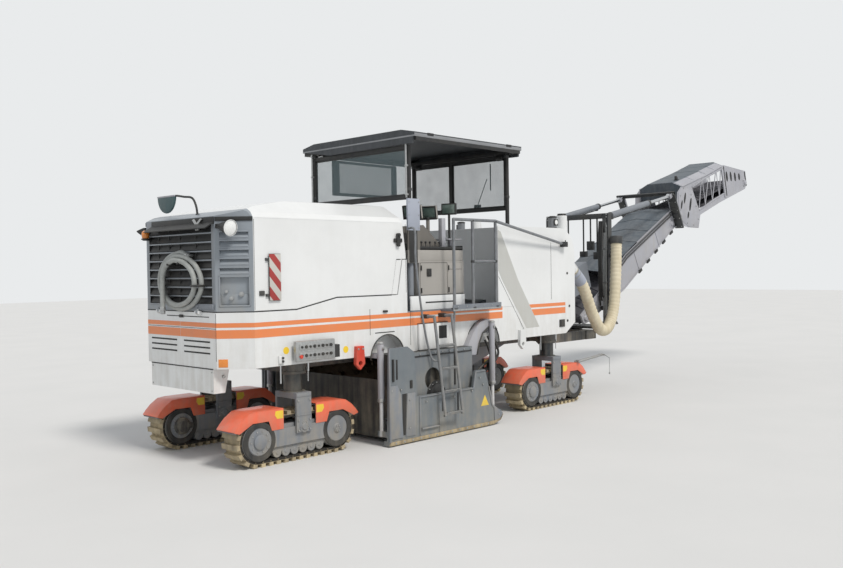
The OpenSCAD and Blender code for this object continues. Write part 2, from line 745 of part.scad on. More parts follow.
module boom_inner() color(pale_grey) inner_place() {
    w = boom_w / 2;
    end = knuckle_u - 110;
    post_t = 30;
    both_sides() {
        difference() {
            slab_xz([[-650, 60], [-450, 0], [870, -115], [end, -7], [end, 350], [1200, 440], [100, 300], [-650, 250]],
                    -w, -w + sheet_t);
            cross_bar(0, 0, -w - 1, -w + sheet_t + 1, 80 + 2 * seat_gap);
        }
        block([end - post_t, -650, -45], [end, -w + sheet_t - 1, 760]);
        slab_xz([[end - 1, -45], [knuckle_u + 30, -45], [knuckle_u + 30, 45], [end - 1, 60]], -w - 26, -w - 6);
        cross_bar(knuckle_u, 0, -w - 20, -w + sheet_t + 8, fold_pin_d);
        for (y = [-lift_y - 50, -lift_y + 34]) block([lift_eye_u - 35, y, lift_eye_v - 35],
                                                [end - post_t + 1, y + 16, lift_eye_v + 35]);
        cross_bar(lift_eye_u, lift_eye_v, -lift_y - 48, -lift_y + 48, lift_pin_d);
    }
    block([end - post_t, -650, 700], [end, 650, 760]);
    for (u = [600, 1800, 2950]) {
        v = lookup(u, [[-450, 0], [870, -115], [end, -7]]);
        block([u, -w + 1, v + 2], [u + 60, w - 1, v + 30]);
    }
    slab_xz([[1700, 416], [end - post_t - 1, 351], [end - post_t - 1, 366], [1700, 431]], -w, w);
    pulleys([inner_belt_u0, inner_belt_u1], 120);
}

// Height of the outer boom's top edge along its length
cover_edge = [[354, 690], [1513, 705], [2330, 745]];
cover_rise = 95;
cover_t = 12;
cover_flat = 280;

// Solid under the arched cover between two of its stations, lowered by a margin
module cover_block(from, to, margin) {
    w = boom_w / 2 - (margin > 0 ? sheet_t + 2 : 0);
    hull() for (end = [from, to])
        translate([end[0] + (margin > 0 ? (end == from ? -20 : 20) : 0), 0, end[1] - margin])
            rotate([90, 0, 90]) linear_extrude(1) polygon([
                [-w, -15 - margin], [-w, 0], [-cover_flat, cover_rise], [cover_flat, cover_rise], [w, 0],
                [w, -15 - margin]
            ]);
}

module boom_outer() color(pale_grey) outer_place() {
    w = boom_w / 2;
    difference() {
        for (i = [0, 1]) cover_block(cover_edge[i], cover_edge[i + 1], 0);
        for (i = [0, 1]) cover_block(cover_edge[i], cover_edge[i + 1], cover_t);
    }
    both_sides() {
        difference() {
            slab_xz([[-38, -38], [60, -38], [420, -190], [860, -310], [1010, -60], [1970, -10], [tip_len - 120, 10],
                     [tip_len, nose_v], [tip_len, 400], [2380, 745], [2330, 745], [1513, 705], [354, 690],
                     [150, 600], [-38, 60]], -w, -w + sheet_t);
            slab_xz([[980, 60], [1730, 130], [2250, 150], [2250, 660], [1513, 630], [800, 560]],
                    -w - 1, -w + sheet_t + 1);
            cross_bar(0, 0, -w - 1, -w + sheet_t + 1, fold_pin_d + 2 * seat_gap);
        }
        for (ends = [[1000, 1290], [1290, 1640], [1640, 1990], [1990, 2240]])
            slab_xz([[ends[0] - 14, 80], [ends[0] + 16, 80], [ends[1] + 14, 690], [ends[1] - 16, 690]],
                    -w + 1, -w + sheet_t - 1);
    }
    for (u = [300, 1600, 3000]) block([u, -w + 1, 15], [u + 60, w - 1, 45]);
    pulleys([150, tip_len - 110], 150);
}

// Belt pulleys on shafts between the side sheets
module pulleys(us, v) {
    for (u = us) {
        cross_bar(u, v, -boom_w / 2 + sheet_t - 1, boom_w / 2 - sheet_t + 1, 60);
        cross_bar(u, v, -boom_w / 2 + 50, boom_w / 2 - 50, 2 * (90 - 14 - seat_gap));
    }
}

module belt(length) {
    r = 90;
    translate([0, boom_w / 2 - 60, 0]) rotate([90, 0, 0]) linear_extrude(boom_w - 120) difference() {
        hull() for (u = [0, length]) translate([u, 0]) circle(r = r);
        hull() for (u = [0, length]) translate([u, 0]) circle(r = r - 14);
    }
}

module belt_inner() color("#202224") inner_place() translate([inner_belt_u0, 0, 120])
    belt(inner_belt_u1 - inner_belt_u0);

module belt_outer() color("#202224") outer_place() translate([150, 0, 150]) belt(tip_len - 260);

lift_y = 560;
lift_pin_d = 50;
rod_eye_slack = 15;
lift_eye_u = knuckle_u - 210;
lift_eye_v = 700;
lift_foot = [pivot_x + 120, 3105];
lift_eye = [
    pivot_x + lift_eye_u * cos(boom_tilt) - lift_eye_v * sin(boom_tilt),
    pivot_z + lift_eye_u * sin(boom_tilt) + lift_eye_v * cos(boom_tilt)
];
lift_len = norm(lift_eye - lift_foot);
lift_turn = atan2(lift_eye[1] - lift_foot[1], lift_eye[0] - lift_foot[0]);

module lift_place() {
    from_rear() translate([lift_foot[0], 0, lift_foot[1]]) rotate([0, -lift_turn, 0]) children();
}

// Cylinder eye round a pin across the machine, with a radial slack round the pin
module lift_eye_ring(u, slack) {
    difference() {
        cross_bar(u, 0, -lift_y - 33, -lift_y + 33, 100 + slack / 2);
        cross_bar(u, 0, -lift_y - 34, -lift_y + 34, lift_pin_d + 2 * slack);
    }
}

module lift_barrels() color(mid_grey) lift_place() both_sides() {
    lift_eye_ring(0, seat_gap);
    translate([45, -lift_y, 0]) rotate([0, 90, 0]) difference() {
        cylinder(d = 110, h = 1450);
        translate([0, 0, 60]) cylinder(d = 60 + 2 * seat_gap, h = 1450);
    }
}

module lift_rods() color("silver") lift_place() both_sides() {
    lift_eye_ring(lift_len, rod_eye_slack);
    translate([500, -lift_y, 0]) rotate([0, 90, 0]) cylinder(d = 60, h = lift_len - 500 - 45);
}

// Point on a smooth curve from b to c
function curve_point(a, b, c, d, t) =
    0.5 * (2 * b + (c - a) * t + (2 * a - 5 * b + 4 * c - d) * t * t + (3 * b - a - 3 * c + d) * t * t * t);

// Smooth curve through points, with some steps on each stretch
function smooth_curve(points, steps) = let (last = len(points) - 1) [
    for (i = [0 : last - 1], k = [0 : steps - 1])
        curve_point(points[max(i - 1, 0)], points[i], points[i + 1], points[min(i + 2, last)], k / steps),
    points[last]
];

// Ring of points round a curve that never runs along the side direction
function ring(centre, along, side, r, sides) = let (
    t = along / norm(along), a = cross(t, side) / norm(cross(t, side)), b = cross(t, a)
) [for (k = [0 : sides - 1]) centre + r * cos(360 * k / sides) * a + r * sin(360 * k / sides) * b];

// Hose swept along a curve
module sweep(curve, d, sides, side) {
    last = len(curve) - 1;
    polyhedron(
        points = [for (i = [0 : last])
            each ring(curve[i], curve[min(i + 1, last)] - curve[max(i - 1, 0)], side, d / 2, sides)],
        faces = concat(
            [[for (k = [sides - 1 : -1 : 0]) k], [for (k = [0 : sides - 1]) last * sides + k]],
            [for (i = [0 : last - 1], k = [0 : sides - 1])
                let (n = (k + 1) % sides) [i * sides + k, i * sides + n, (i + 1) * sides + n]],
            [for (i = [0 : last - 1], k = [0 : sides - 1])
                let (n = (k + 1) % sides) [i * sides + k, (i + 1) * sides + n, (i + 1) * sides + k]]
        )
    );
}

suction_route = [
    [6700, -900, 2150], [7000, -900, 1900], [7300, -900, 1400], [7580, -880, 1120],
    [7860, -860, 1160], [8080, -840, 1500], [8190, -820, 2100], [8250, -800, 2600]
];

suction_curve = smooth_curve(suction_route, 5);
hose_start = suction_curve[0];
hose_start_way = (suction_curve[1] - hose_start) / norm(suction_curve[1] - hose_start);
hose_end = suction_curve[len(suction_curve) - 1];
hose_end_way = (hose_end - suction_curve[len(suction_curve) - 2])
    / norm(hose_end - suction_curve[len(suction_curve) - 2]);

module suction_hose() color("#d9cfae") from_rear() sweep(suction_curve, suction_d, 12, [0, 1, 0]);

chassis_frame();
front_frame();
lower_body();
front_body();
engine_block();
platform();
consoles();
railings();
ladders();
drum_housing();
plate_cylinders();
side_controls();
lifting_lugs();
primary_conveyor();
hood_shell();
rear_cowl();
grille();
rear_lamps();
rear_mirror();
hose_coil();
hose_tail();
canopy_roof();
canopy_frame();
canopy_screens();
milling_drum();
scraper();
side_plate(-1);  // side_plate_right
side_plate(1);  // side_plate_left
leg(0, -1);  // leg_rear_right
leg(0, 1);  // leg_rear_left
leg(1, -1);  // leg_front_right
leg(1, 1);  // leg_front_left
track_frame(0, -1);  // track_frame_rear_right
track_frame(0, 1);  // track_frame_rear_left
track_frame(1, -1);  // track_frame_front_right
track_frame(1, 1);  // track_frame_front_left
track_loop(0, -1);  // track_loop_rear_right
track_loop(0, 1);  // track_loop_rear_left
track_loop(1, -1);  // track_loop_front_right
track_loop(1, 1);  // track_loop_front_left
slew_mast();
boom_inner();
boom_outer();
belt_inner();
belt_outer();
lift_barrels();
lift_rods();
suction_hose();
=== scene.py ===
"""Looks of a tracked cold planer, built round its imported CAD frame.

Sizes are in millimetres, measured forward from the flat rear face (X), to the left (Y) and up (Z).
Each finished piece is turned to metres in the shared frame.
"""

from __future__ import annotations

import json
import logging
from collections.abc import Callable, Sequence
from dataclasses import dataclass, field
from enum import Enum
from math import atan2, cos, pi, radians, sin

import bmesh
import bpy
from mathutils import Matrix, Vector

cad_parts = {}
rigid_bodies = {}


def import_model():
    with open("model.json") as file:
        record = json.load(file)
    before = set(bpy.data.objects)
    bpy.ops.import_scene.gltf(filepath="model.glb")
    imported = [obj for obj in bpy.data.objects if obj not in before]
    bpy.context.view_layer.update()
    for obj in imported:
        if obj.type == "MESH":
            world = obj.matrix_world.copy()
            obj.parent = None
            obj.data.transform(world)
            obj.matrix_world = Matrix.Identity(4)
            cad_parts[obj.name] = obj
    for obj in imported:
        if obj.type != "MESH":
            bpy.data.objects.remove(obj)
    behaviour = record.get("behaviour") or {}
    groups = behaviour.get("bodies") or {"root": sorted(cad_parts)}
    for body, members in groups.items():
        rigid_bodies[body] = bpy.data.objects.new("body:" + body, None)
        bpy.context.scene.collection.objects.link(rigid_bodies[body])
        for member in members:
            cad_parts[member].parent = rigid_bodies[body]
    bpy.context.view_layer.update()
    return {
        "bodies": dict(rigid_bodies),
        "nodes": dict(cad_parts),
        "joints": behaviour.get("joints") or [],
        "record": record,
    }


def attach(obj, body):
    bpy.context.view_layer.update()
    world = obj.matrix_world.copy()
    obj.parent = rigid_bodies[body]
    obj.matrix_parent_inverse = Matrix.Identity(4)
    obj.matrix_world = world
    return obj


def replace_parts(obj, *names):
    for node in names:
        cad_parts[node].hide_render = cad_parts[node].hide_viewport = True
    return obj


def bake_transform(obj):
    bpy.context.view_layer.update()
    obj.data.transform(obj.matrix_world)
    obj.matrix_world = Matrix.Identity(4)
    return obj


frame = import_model()
LOG = logging.getLogger("cold_planer")

REAR_FACE_X = -7.150393
MM = 0.001
SIDES = (1, -1)
BODY_HALF = 1040.0
REAR_HALF = 740.0
CORNER = 300.0
SEAM_LOW = 1767.0
REAR_TOP = 2830.0
FLOOR_Z = 1660.0
TRACK_FOLDS = (-3.655393, 2.545)
KNUCKLE = (11146.67, 0.0, 3055.66)
PIVOT = (8250.0, 0.0, 1450.0)
# Frame with Y counted from the flat right side, negative outwards
AT_SIDE = Matrix.Translation((0, -BODY_HALF, 0))

Point = tuple[float, float, float]
Outline = Sequence[tuple[float, float]]
Node = bpy.types.Node
Socket = bpy.types.NodeSocket
Tree = bpy.types.NodeTree


class Side(Enum):
    """Side of the machine, with its sign along Y."""

    RIGHT = -1
    LEFT = 1


class Axis(Enum):
    """Direction that a flat outline is thickened along, with the axes it is drawn in."""

    X = (1, 2, 0)
    Y = (0, 2, 1)
    Z = (0, 1, 2)

    def spot(self, pair: tuple[float, float], along: float) -> Vector:
        """Gives the point of a drawn pair, some way along the axis.

        Args:
            pair: The two coordinates of the drawing.
            along: Place along the axis.

        Returns:
            The point in space.
        """
        point = Vector((0, 0, 0))
        for number, value in zip(self.value, (*pair, along)):
            point[number] = value
        return point


def srgb(code: str) -> tuple[float, float, float, float]:
    """Turns an sRGB hex colour to linear.

    Args:
        code: Six hex digits after a hash.

    Returns:
        Linear red, green and blue, and an alpha of 1.
    """
    parts = [int(code[i : i + 2], 16) / 255 for i in (1, 3, 5)]
    linear = [c / 12.92 if c <= 0.04045 else ((c + 0.055) / 1.055) ** 2.4 for c in parts]
    return (linear[0], linear[1], linear[2], 1.0)


def ring(across: float, up: float, reach: float, count: int, start_deg: float = 0.0) -> Outline:
    """Lists points spaced evenly round a circle, from its middle, its radius and the first point's angle."""
    angles = [radians(start_deg + 360 * k / count) for k in range(count)]
    return [(across + reach * cos(a), up + reach * sin(a)) for a in angles]


def metres(point: Sequence[float]) -> Vector:
    """Turns a point in mm from the rear face to metres in the shared frame."""
    return Vector((point[0] * MM + REAR_FACE_X, point[1] * MM, point[2] * MM))


def towards(way: Point | Vector) -> Matrix:
    """Gives the turn that takes Z to a direction."""
    return Vector(way).to_track_quat("Z", "Y").to_matrix().to_4x4()


def feed(node: Node, links: dict) -> None:
    """Links or sets the inputs of a node.

    Args:
        node: The node.
        links: Input name or number to a socket, a node whose first output feeds it, or its value.
    """
    for key, value in links.items():
        if isinstance(value, Node):
            value = value.outputs[0]
        if isinstance(value, Socket):
            node.id_data.links.new(value, node.inputs[key])
        else:
            node.inputs[key].default_value = value


def add(tree: Tree, kind: str, links: dict | None = None, **settings: object) -> Node:
    """Adds a node with its settings and links.

    Args:
        tree: Node tree of the material.
        kind: Blender's name of the node type, without its first words.
        links: What feeds its inputs.
        **settings: Attributes of the node.

    Returns:
        The new node.
    """
    node = tree.nodes.new("ShaderNode" + kind)
    for name, value in settings.items():
        setattr(node, name, value)
    feed(node, links or {})
    return node


def blank_material(name: str) -> tuple[bpy.types.Material, Tree, Node]:
    """Makes a material with one Principled shader linked to its output.

    Args:
        name: Name of the material.

    Returns:
        The material, its node tree and its shader.
    """
    material = bpy.data.materials.new(name)
    material.use_nodes = True
    tree = material.node_tree
    tree.nodes.clear()
    shader = add(tree, "BsdfPrincipled")
    add(tree, "OutputMaterial", {"Surface": shader.outputs["BSDF"]})
    return material, tree, shader


@dataclass(frozen=True)
class Finish:
    """A surface with mottled colour, dust that gathers low down, worn spots and a fine relief.

    Pattern sizes are real ones in millimetres. Dust falls off upwards from dust_floor to dust_top.
    """

    name: str
    colour: str
    shade: str
    roughness: float
    mottle_mm: float = 400.0
    mottle_amount: float = 0.5
    metallic: float = 0.0
    coat: float = 0.0
    grain_mm: float = 3.0
    grain_depth_mm: float = 0.05
    dust: str = "#A39A88"
    dust_floor: float = 300.0
    dust_top: float = 1500.0
    dust_amount: float = 0.5
    dust_base: float = 0.04
    ior: float = 1.5
    bands: tuple[tuple[int, float, float, str], ...] = ()
    links: str = ""

    def material(self) -> bpy.types.Material:
        """Builds the material once and returns it.

        Returns:
            The finished material.
        """
        if self.name in bpy.data.materials:
            return bpy.data.materials[self.name]
        material, tree, shader = blank_material(self.name)
        place = add(tree, "TexCoord").outputs["Object"]
        axes = add(tree, "SeparateXYZ", {"Vector": place}).outputs
        mottle = add(tree, "TexNoise", {"Vector": place, "Scale": 1000 / self.mottle_mm, "Detail": 5.0,
                                        "Roughness": 0.62})
        tone = add(tree, "MapRange", {"Value": mottle, "From Min": 0.38, "From Max": 0.68,
                                      "To Max": self.mottle_amount})
        dirt = self.dirt(tree, place, axes[2])
        layers = [(tone, self.shade)]
        layers += [(self.within(tree, axes[number], low, high), code) for number, low, high, code in self.bands]
        layers.append((dirt, self.dust))
        if self.links:
            layers.append((self.inside_belt(tree, axes), self.links))
        colour = srgb(self.colour)
        for share, code in layers:
            colour = add(tree, "Mix", {"Factor": share, 6: colour, 7: srgb(code)}, data_type="RGBA").outputs[2]
        rough = add(tree, "MapRange", {"Value": dirt, "To Min": self.roughness,
                                       "To Max": max(self.roughness, 0.85)})
        grain = add(tree, "TexNoise", {"Vector": place, "Scale": 1000 / self.grain_mm, "Detail": 2.0})
        bump = add(tree, "Bump", {"Height": grain, "Strength": 0.6, "Distance": self.grain_depth_mm * MM})
        feed(shader, {"Base Color": colour, "Roughness": rough, "Normal": bump, "Metallic": self.metallic,
                      "Coat Weight": self.coat, "Coat Roughness": 0.12})
        if self.metallic < 0.5:
            feed(shader, {"IOR": self.ior})
        return material

    def within(self, tree: Tree, value: Socket, low: float, high: float) -> Node:
        """Marks where a coordinate lies between two limits.

        Args:
            tree: Node tree of the material.
            value: The coordinate in metres.
            low: Lower limit.
            high: Upper limit.

        Returns:
            A node that gives 1 between the limits, and 0 elsewhere.
        """
        above = add(tree, "Math", {0: value, 1: low}, operation="GREATER_THAN")
        below = add(tree, "Math", {0: value, 1: high}, operation="LESS_THAN")
        return add(tree, "Math", {0: above, 1: below}, operation="MULTIPLY")

    def inside_belt(self, tree: Tree, axes: Sequence[Socket]) -> Socket:
        """Gives 1 on the links inside a track's shoes, and 0 on the shoes.

        Args:
            tree: Node tree of the material.
            axes: Coordinates in metres. Both rows of tracks are folded onto one.

        Returns:
            The share of the links' colour.
        """
        along = axes[0]
        for shift in TRACK_FOLDS:
            moved = add(tree, "Math", {0: along, 1: shift}, operation="SUBTRACT")
            along = add(tree, "Math", {0: moved}, operation="ABSOLUTE").outputs[0]
        past = add(tree, "Math", {0: along, 1: 0.57}, operation="SUBTRACT", use_clamp=True).outputs[0]
        rise = add(tree, "Math", {0: axes[2], 1: 0.295}, operation="SUBTRACT").outputs[0]
        spot = add(tree, "CombineXYZ", {0: past, 1: rise})
        reach = add(tree, "VectorMath", {0: spot}, operation="LENGTH").outputs["Value"]
        return add(tree, "Math", {0: reach, 1: 0.252}, operation="LESS_THAN").outputs[0]

    def dirt(self, tree: Tree, place: Socket, height: Socket) -> Socket:
        """Works out how dusty the surface is, from its height and two noises.

        Args:
            tree: Node tree of the material.
            place: Object coordinates.
            height: Height above the ground in metres.

        Returns:
            Share of dust from 0 to 1.
        """
        low = add(tree, "MapRange", {"Value": height, "From Min": self.dust_floor * MM,
                                     "From Max": self.dust_top * MM, "To Min": self.dust_amount,
                                     "To Max": self.dust_base})
        broad = add(tree, "TexNoise", {"Vector": place, "Scale": 3.2, "Detail": 6.0, "Roughness": 0.7})
        stretched = add(tree, "Mapping", {"Vector": place, "Scale": (1.0, 1.0, 0.12)})
        runs = add(tree, "TexNoise", {"Vector": stretched, "Scale": 14.0, "Detail": 3.0})
        both = add(tree, "Math", {0: broad, 1: runs}, operation="MULTIPLY")
        spread = add(tree, "MapRange", {"Value": both, "From Min": 0.12, "From Max": 0.42, "To Max": 2.0})
        share = add(tree, "Math", {0: low, 1: spread}, operation="MULTIPLY", use_clamp=True)
        return share.outputs[0]


@dataclass(frozen=True)
class Pane:
    """Clear or tinted sheet glass with faint smears."""

    name: str
    tint: str
    alpha: float
    roughness: float = 0.03

    def material(self) -> bpy.types.Material:
        """Builds the material once and returns it.

        Returns:
            The finished material.
        """
        if self.name in bpy.data.materials:
            return bpy.data.materials[self.name]
        material, tree, shader = blank_material(self.name)
        place = add(tree, "TexCoord").outputs["Object"]
        smear = add(tree, "TexNoise", {"Vector": place, "Scale": 5.0, "Detail": 4.0})
        rough = add(tree, "MapRange", {"Value": smear, "To Min": self.roughness,
                                       "To Max": self.roughness + 0.08})
        veil = add(tree, "MapRange", {"Value": smear, "From Min": 0.3, "From Max": 0.8,
                                      "To Min": self.alpha, "To Max": self.alpha + 0.06})
        feed(shader, {"Roughness": rough, "Alpha": veil, "Base Color": srgb(self.tint), "IOR": 1.5})
        return material


@dataclass(frozen=True)
class SlantedStripes:
    """Reflective sheeting in two colours with slanted bands."""

    name: str
    first: str
    second: str
    band_mm: float
    slope: float

    def material(self) -> bpy.types.Material:
        """Builds the material once and returns it.

        Returns:
            The finished material.
        """
        if self.name in bpy.data.materials:
            return bpy.data.materials[self.name]
        material, tree, shader = blank_material(self.name)
        place = add(tree, "TexCoord").outputs["Object"]
        axes = add(tree, "SeparateXYZ", {"Vector": place}).outputs
        slanted = add(tree, "Math", {0: axes[0], 1: self.slope, 2: axes[2]}, operation="MULTIPLY_ADD")
        counted = add(tree, "Math", {0: slanted, 1: 1 / (2 * self.band_mm * MM)}, operation="MULTIPLY")
        part = add(tree, "Math", {0: counted}, operation="FRACT")
        half = add(tree, "Math", {0: part, 1: 0.5}, operation="GREATER_THAN")
        colour = add(tree, "Mix", {"Factor": half, 6: srgb(self.first), 7: srgb(self.second)},
                     data_type="RGBA").outputs[2]
        beads = add(tree, "TexVoronoi", {"Vector": place, "Scale": 250.0})
        bump = add(tree, "Bump", {"Height": beads, "Distance": 0.0004, "Strength": 0.4})
        feed(shader, {"Base Color": colour, "Normal": bump, "Roughness": 0.35})
        return material


# White two-coat machine paint, glossy above and dusty near the ground
WHITE_PAINT = Finish("white_machine_paint", "#E6E8E8", "#D9DBDB", 0.32, 900, 0.55, coat=0.35, grain_mm=6,
                     grain_depth_mm=0.04, dust_floor=900, dust_top=1900, dust_amount=0.22, dust_base=0.02)
# Grey powder coat of the rear panels, slightly bluish and even
COWL_PAINT = Finish("cowl_grey_paint", "#8E969E", "#7E868E", 0.42, 500, coat=0.15, grain_mm=5, dust_top=2400)
# Satin grey paint of the steelwork near the drum, scuffed and dusty
STEEL_GREY = Finish("steelwork_grey_paint", "#7D838B", "#6C727A", 0.5, 350, 0.7, grain_mm=8,
                    grain_depth_mm=0.15, dust_floor=0, dust_top=1300, dust_amount=0.4)
# Light grey gloss paint of the conveyor sheets
SHEET_GREY = Finish("conveyor_grey_paint", "#A9ABB3", "#989AA3", 0.42, 600, 0.7, coat=0.1, grain_mm=9,
                    grain_depth_mm=0.1, dust_floor=1200, dust_top=4600, dust_amount=0.2, dust_base=0.06)
# Dark grey chassis paint with a veil of dust
DARK_STEEL = Finish("chassis_dark_paint", "#33373B", "#24272A", 0.48, 300, 0.6, grain_mm=7, grain_depth_mm=0.15,
                    dust_floor=200, dust_top=1500, dust_amount=0.5, dust_base=0.06)
# Beige grey structured coating of the operator cabinets
CABINET_PAINT = Finish("cabinet_structured_coating", "#A5A29D", "#989590", 0.55, 500, 0.5, grain_mm=2.5,
                       grain_depth_mm=0.12, dust_top=2000, dust_amount=0.2, bands=((2, 2.462, 2.9, "#6E6B66"),))
# Tube paint of the rails, worn to a dull grey where hands hold it
TUBE_PAINT = Finish("rail_tube_paint", "#7B7F84", "#5F6367", 0.4, 120, 0.8, coat=0.1, dust_top=2000,
                    dust_amount=0.3)
# Column tubes, dark below and darker above where the oil wipes them
COLUMN_STEEL = Finish("column_tube_steel", "#3A3E42", "#2C3034", 0.3, 200, 0.6, 0.6, dust_floor=300,
                      dust_top=1300, dust_amount=0.4)
# Side plate paint with the chrome of the rods behind it
PLATE_GREY = Finish("side_plate_paint", "#6F777D", "#636B71", 0.5, 350, 0.7, grain_mm=8, grain_depth_mm=0.15,
                    dust_floor=-100, dust_top=900, dust_amount=0.4,
                    bands=((1, -1.1752, -1.1248, "#D4D6D8"), (1, 1.1248, 1.1752, "#D4D6D8")))
# Moulded black plastic with a fine grain
BLACK_PLASTIC = Finish("moulded_black_plastic", "#1C1E20", "#26282B", 0.5, 200, grain_mm=1.5,
                       grain_depth_mm=0.06, dust_top=2500, dust_amount=0.12, dust_base=0.03)
# Stiff roof panel, moulded and faded by the sun
ROOF_PANEL = Finish("moulded_roof_panel", "#2B2E32", "#3A3E43", 0.55, 700, 0.8, grain_mm=4, grain_depth_mm=0.12,
                    dust="#7B7F82", dust_floor=3000, dust_top=4200, dust_amount=0.1, dust_base=0.12)
# Lighter edge trim of the roof
ROOF_EDGE = Finish("roof_edge_trim", "#8D9094", "#75787C", 0.5, 300, 0.6)
# Folded cover sheets of the conveyor, blue grey and dusty
COVER_SHEET = Finish("cover_sheet_blue_grey", "#4A5660", "#3E4851", 0.48, 500, 0.8, grain_mm=12,
                     grain_depth_mm=0.3, dust="#8E8F8F", dust_floor=1500, dust_top=5000, dust_amount=0.3,
                     dust_base=0.15)
# Orange red gloss paint of the track guards
GUARD_ORANGE = Finish("guard_orange_paint", "#EC6A48", "#DE5E3C", 0.36, 250, 0.6, coat=0.3, dust_floor=-200,
                      dust_top=700, dust_amount=0.4, dust_base=0.1)
# Orange film of the side stripes
STRIPE_FILM = Finish("stripe_orange_film", "#E8854A", "#E07B40", 0.36, 700, 0.5, coat=0.25, dust_floor=900,
                     dust_top=1900, dust_amount=0.18, dust_base=0.02)
# Light grey film of the slanted band on the side, painted shade of a slanted facet drawn flat
FACET_SHADE_FILM = Finish("band_grey_film", "#BFC0BC", "#B3B4B0", 0.4, 700, 0.5, coat=0.2, dust_floor=900,
                   dust_top=1900, dust_amount=0.2, dust_base=0.03)
# Drum housing and scraper in near black, painted shade under the body, with grey outer side faces
HOUSING_PAINTED_SHADE = Finish("drum_housing_paint", "#2A2D30", "#202326", 0.55, 350, 0.7, grain_mm=8,
                      grain_depth_mm=0.15, dust_floor=0, dust_top=1300, dust_amount=0.4,
                      bands=((1, -1.212, -1.19, "#6F767C"), (1, 1.19, 1.212, "#6F767C")))
# Dark teal shell of the mirror
TEAL_SHELL = Finish("mirror_shell_teal", "#3C5A5E", "#34494C", 0.45, 200)
# Safety red paint of the lifting lugs
LUG_RED = Finish("lug_red_paint", "#D5402C", "#B83524", 0.42, 120, 0.6, dust_top=1400, dust_amount=0.2,
                 bands=((0, -2.3, -1.7, "#DDDFDF"),))
# Yellow gloss paint and film
SIGNAL_YELLOW = Finish("signal_yellow_paint", "#F2CE2E", "#E4BC2A", 0.42, 150, 0.5, dust_top=900,
                       dust_amount=0.25)
# Cast steel shoes caked in pale stone dust
SHOE_STEEL = Finish("dusty_shoe_steel", "#8C7F6A", "#6E6353", 0.75, 90, 0.9, 0.15, grain_mm=12,
                    grain_depth_mm=0.8, dust="#B9A988", dust_floor=-200, dust_top=900, dust_amount=0.85)
# Closed belt of a track, with dark links inside its pale shoes
SHOE_BELT = Finish("dusty_shoe_belt", "#9C907B", "#7F735F", 0.75, 90, 0.9, 0.15, grain_mm=12,
                   grain_depth_mm=0.8, dust="#C2B391", dust_floor=-200, dust_top=900, dust_amount=0.8,
                   links="#2E2B27")
# Dark rings round the wheel hubs, painted shade of the gap between each end wheel and its belt
WHEEL_GAP_SHADE = Finish("wheel_rim_dark", "#26282A", "#1C1D1F", 0.6, 120, dust_floor=-200, dust_top=700,
                    dust_amount=0.15)
# Dark forged steel of the track links, greasy and dusty
LINK_STEEL = Finish("track_link_steel", "#3B3731", "#2A2723", 0.6, 70, 0.8, 0.4, grain_mm=8, grain_depth_mm=0.4,
                    dust="#8E8169", dust_floor=-100, dust_top=800, dust_amount=0.6)
# Milling drum steel, blasted bare by stone and brown with dust
DRUM_STEEL = Finish("drum_worn_steel", "#6A5B4B", "#54483B", 0.6, 60, 0.9, 0.5, grain_mm=9, grain_depth_mm=0.6,
                    dust="#8D7E68", dust_floor=-100, dust_top=1400, dust_amount=0.5)
# Hard chrome of piston rods and guide tubes
CHROME_ROD = Finish("hard_chrome_rod", "#C9CBCD", "#BEC0C2", 0.16, 200, 0.4, 1.0, dust_amount=0.15,
                    dust_base=0.02)
# Galvanised steel of bolts and brackets
ZINC = Finish("zinc_plated_steel", "#B4B6B6", "#9B9D9E", 0.4, 30, 0.8, 0.8, dust_amount=0.25)
# Rubber of belts and seals, matt and greyed by dust
BELT_RUBBER = Finish("belt_rubber", "#25262A", "#313236", 0.8, 180, 0.7, grain_mm=4, grain_depth_mm=0.2,
                     dust="#7D766A", dust_floor=1000, dust_top=4800, dust_amount=0.5, dust_base=0.35)
# Grey water hose of reinforced rubber
WATER_HOSE = Finish("water_hose_rubber", "#A4A8A6", "#8F9391", 0.6, 60, 0.7, grain_mm=5, grain_depth_mm=0.25,
                    dust_amount=0.2, dust_top=2400)
# Cream suction hose of plastic with a moulded helix
SUCTION_HOSE = Finish("cream_suction_hose", "#E0D6BC", "#D2C8AC", 0.52, 150, 0.8, grain_mm=6,
                      grain_depth_mm=0.2, dust="#A89A78", dust_floor=800, dust_top=2600, dust_amount=0.3,
                      dust_base=0.1)
# Bluish grey moulded cover beside the platform
PALE_COVER = Finish("pale_blue_cover", "#A3AAB8", "#969DAB", 0.42, 400, 0.5, coat=0.1)
# Moulded amber lamp cover, glossy and lightly mottled
AMBER_LENS = Finish("amber_lens", "#E58A2E", "#D97A22", 0.2, 20, 0.5, coat=0.6, dust_amount=0.05)
# Clear lamp cover over a bright reflector, with a moulded relief
WHITE_LENS = Finish("clear_lamp_lens", "#F2F3F1", "#DADFE0", 0.12, 14, 0.7, coat=0.8, dust_amount=0.02,
                    grain_mm=7, grain_depth_mm=0.6)
# Silvered glass of the mirror, smooth enough to show the pale sky
MIRROR_GLASS = Finish("mirror_glass", "#D5DADC", "#CDD2D4", 0.04, 300, 0.3, 1.0, dust_amount=0.05,
                      dust_base=0.0, grain_depth_mm=0.0)
# Display glass, dark with a green grey glow
SCREEN_GLASS = Finish("display_glass", "#5F726C", "#465650", 0.18, 40, 0.8, coat=0.6, dust_amount=0.02)
# Dull black of the gaps between panels
SEAM_BLACK = Finish("seam_black", "#17191B", "#202325", 0.7, 200, dust_amount=0.05, dust_base=0.02)
# Near black of the grille and the drum bearing covers, which in the grille is painted shade in its depth; the
# slats keep grey front edges
DARK_PAINT_AND_GRILLE_SHADE = Finish("grille_paint", "#17191C", "#202327", 0.5, 300, 0.5, dust_amount=0.05, dust_base=0.03,
                      bands=((0, REAR_FACE_X - 0.0015, REAR_FACE_X + 0.0025, "#8A8F94"),))
# Tinted safety glass of the canopy, see-through with faint smears
CANOPY_GLASS = Pane("tinted_screen_glass", "#6E8084", 0.34)
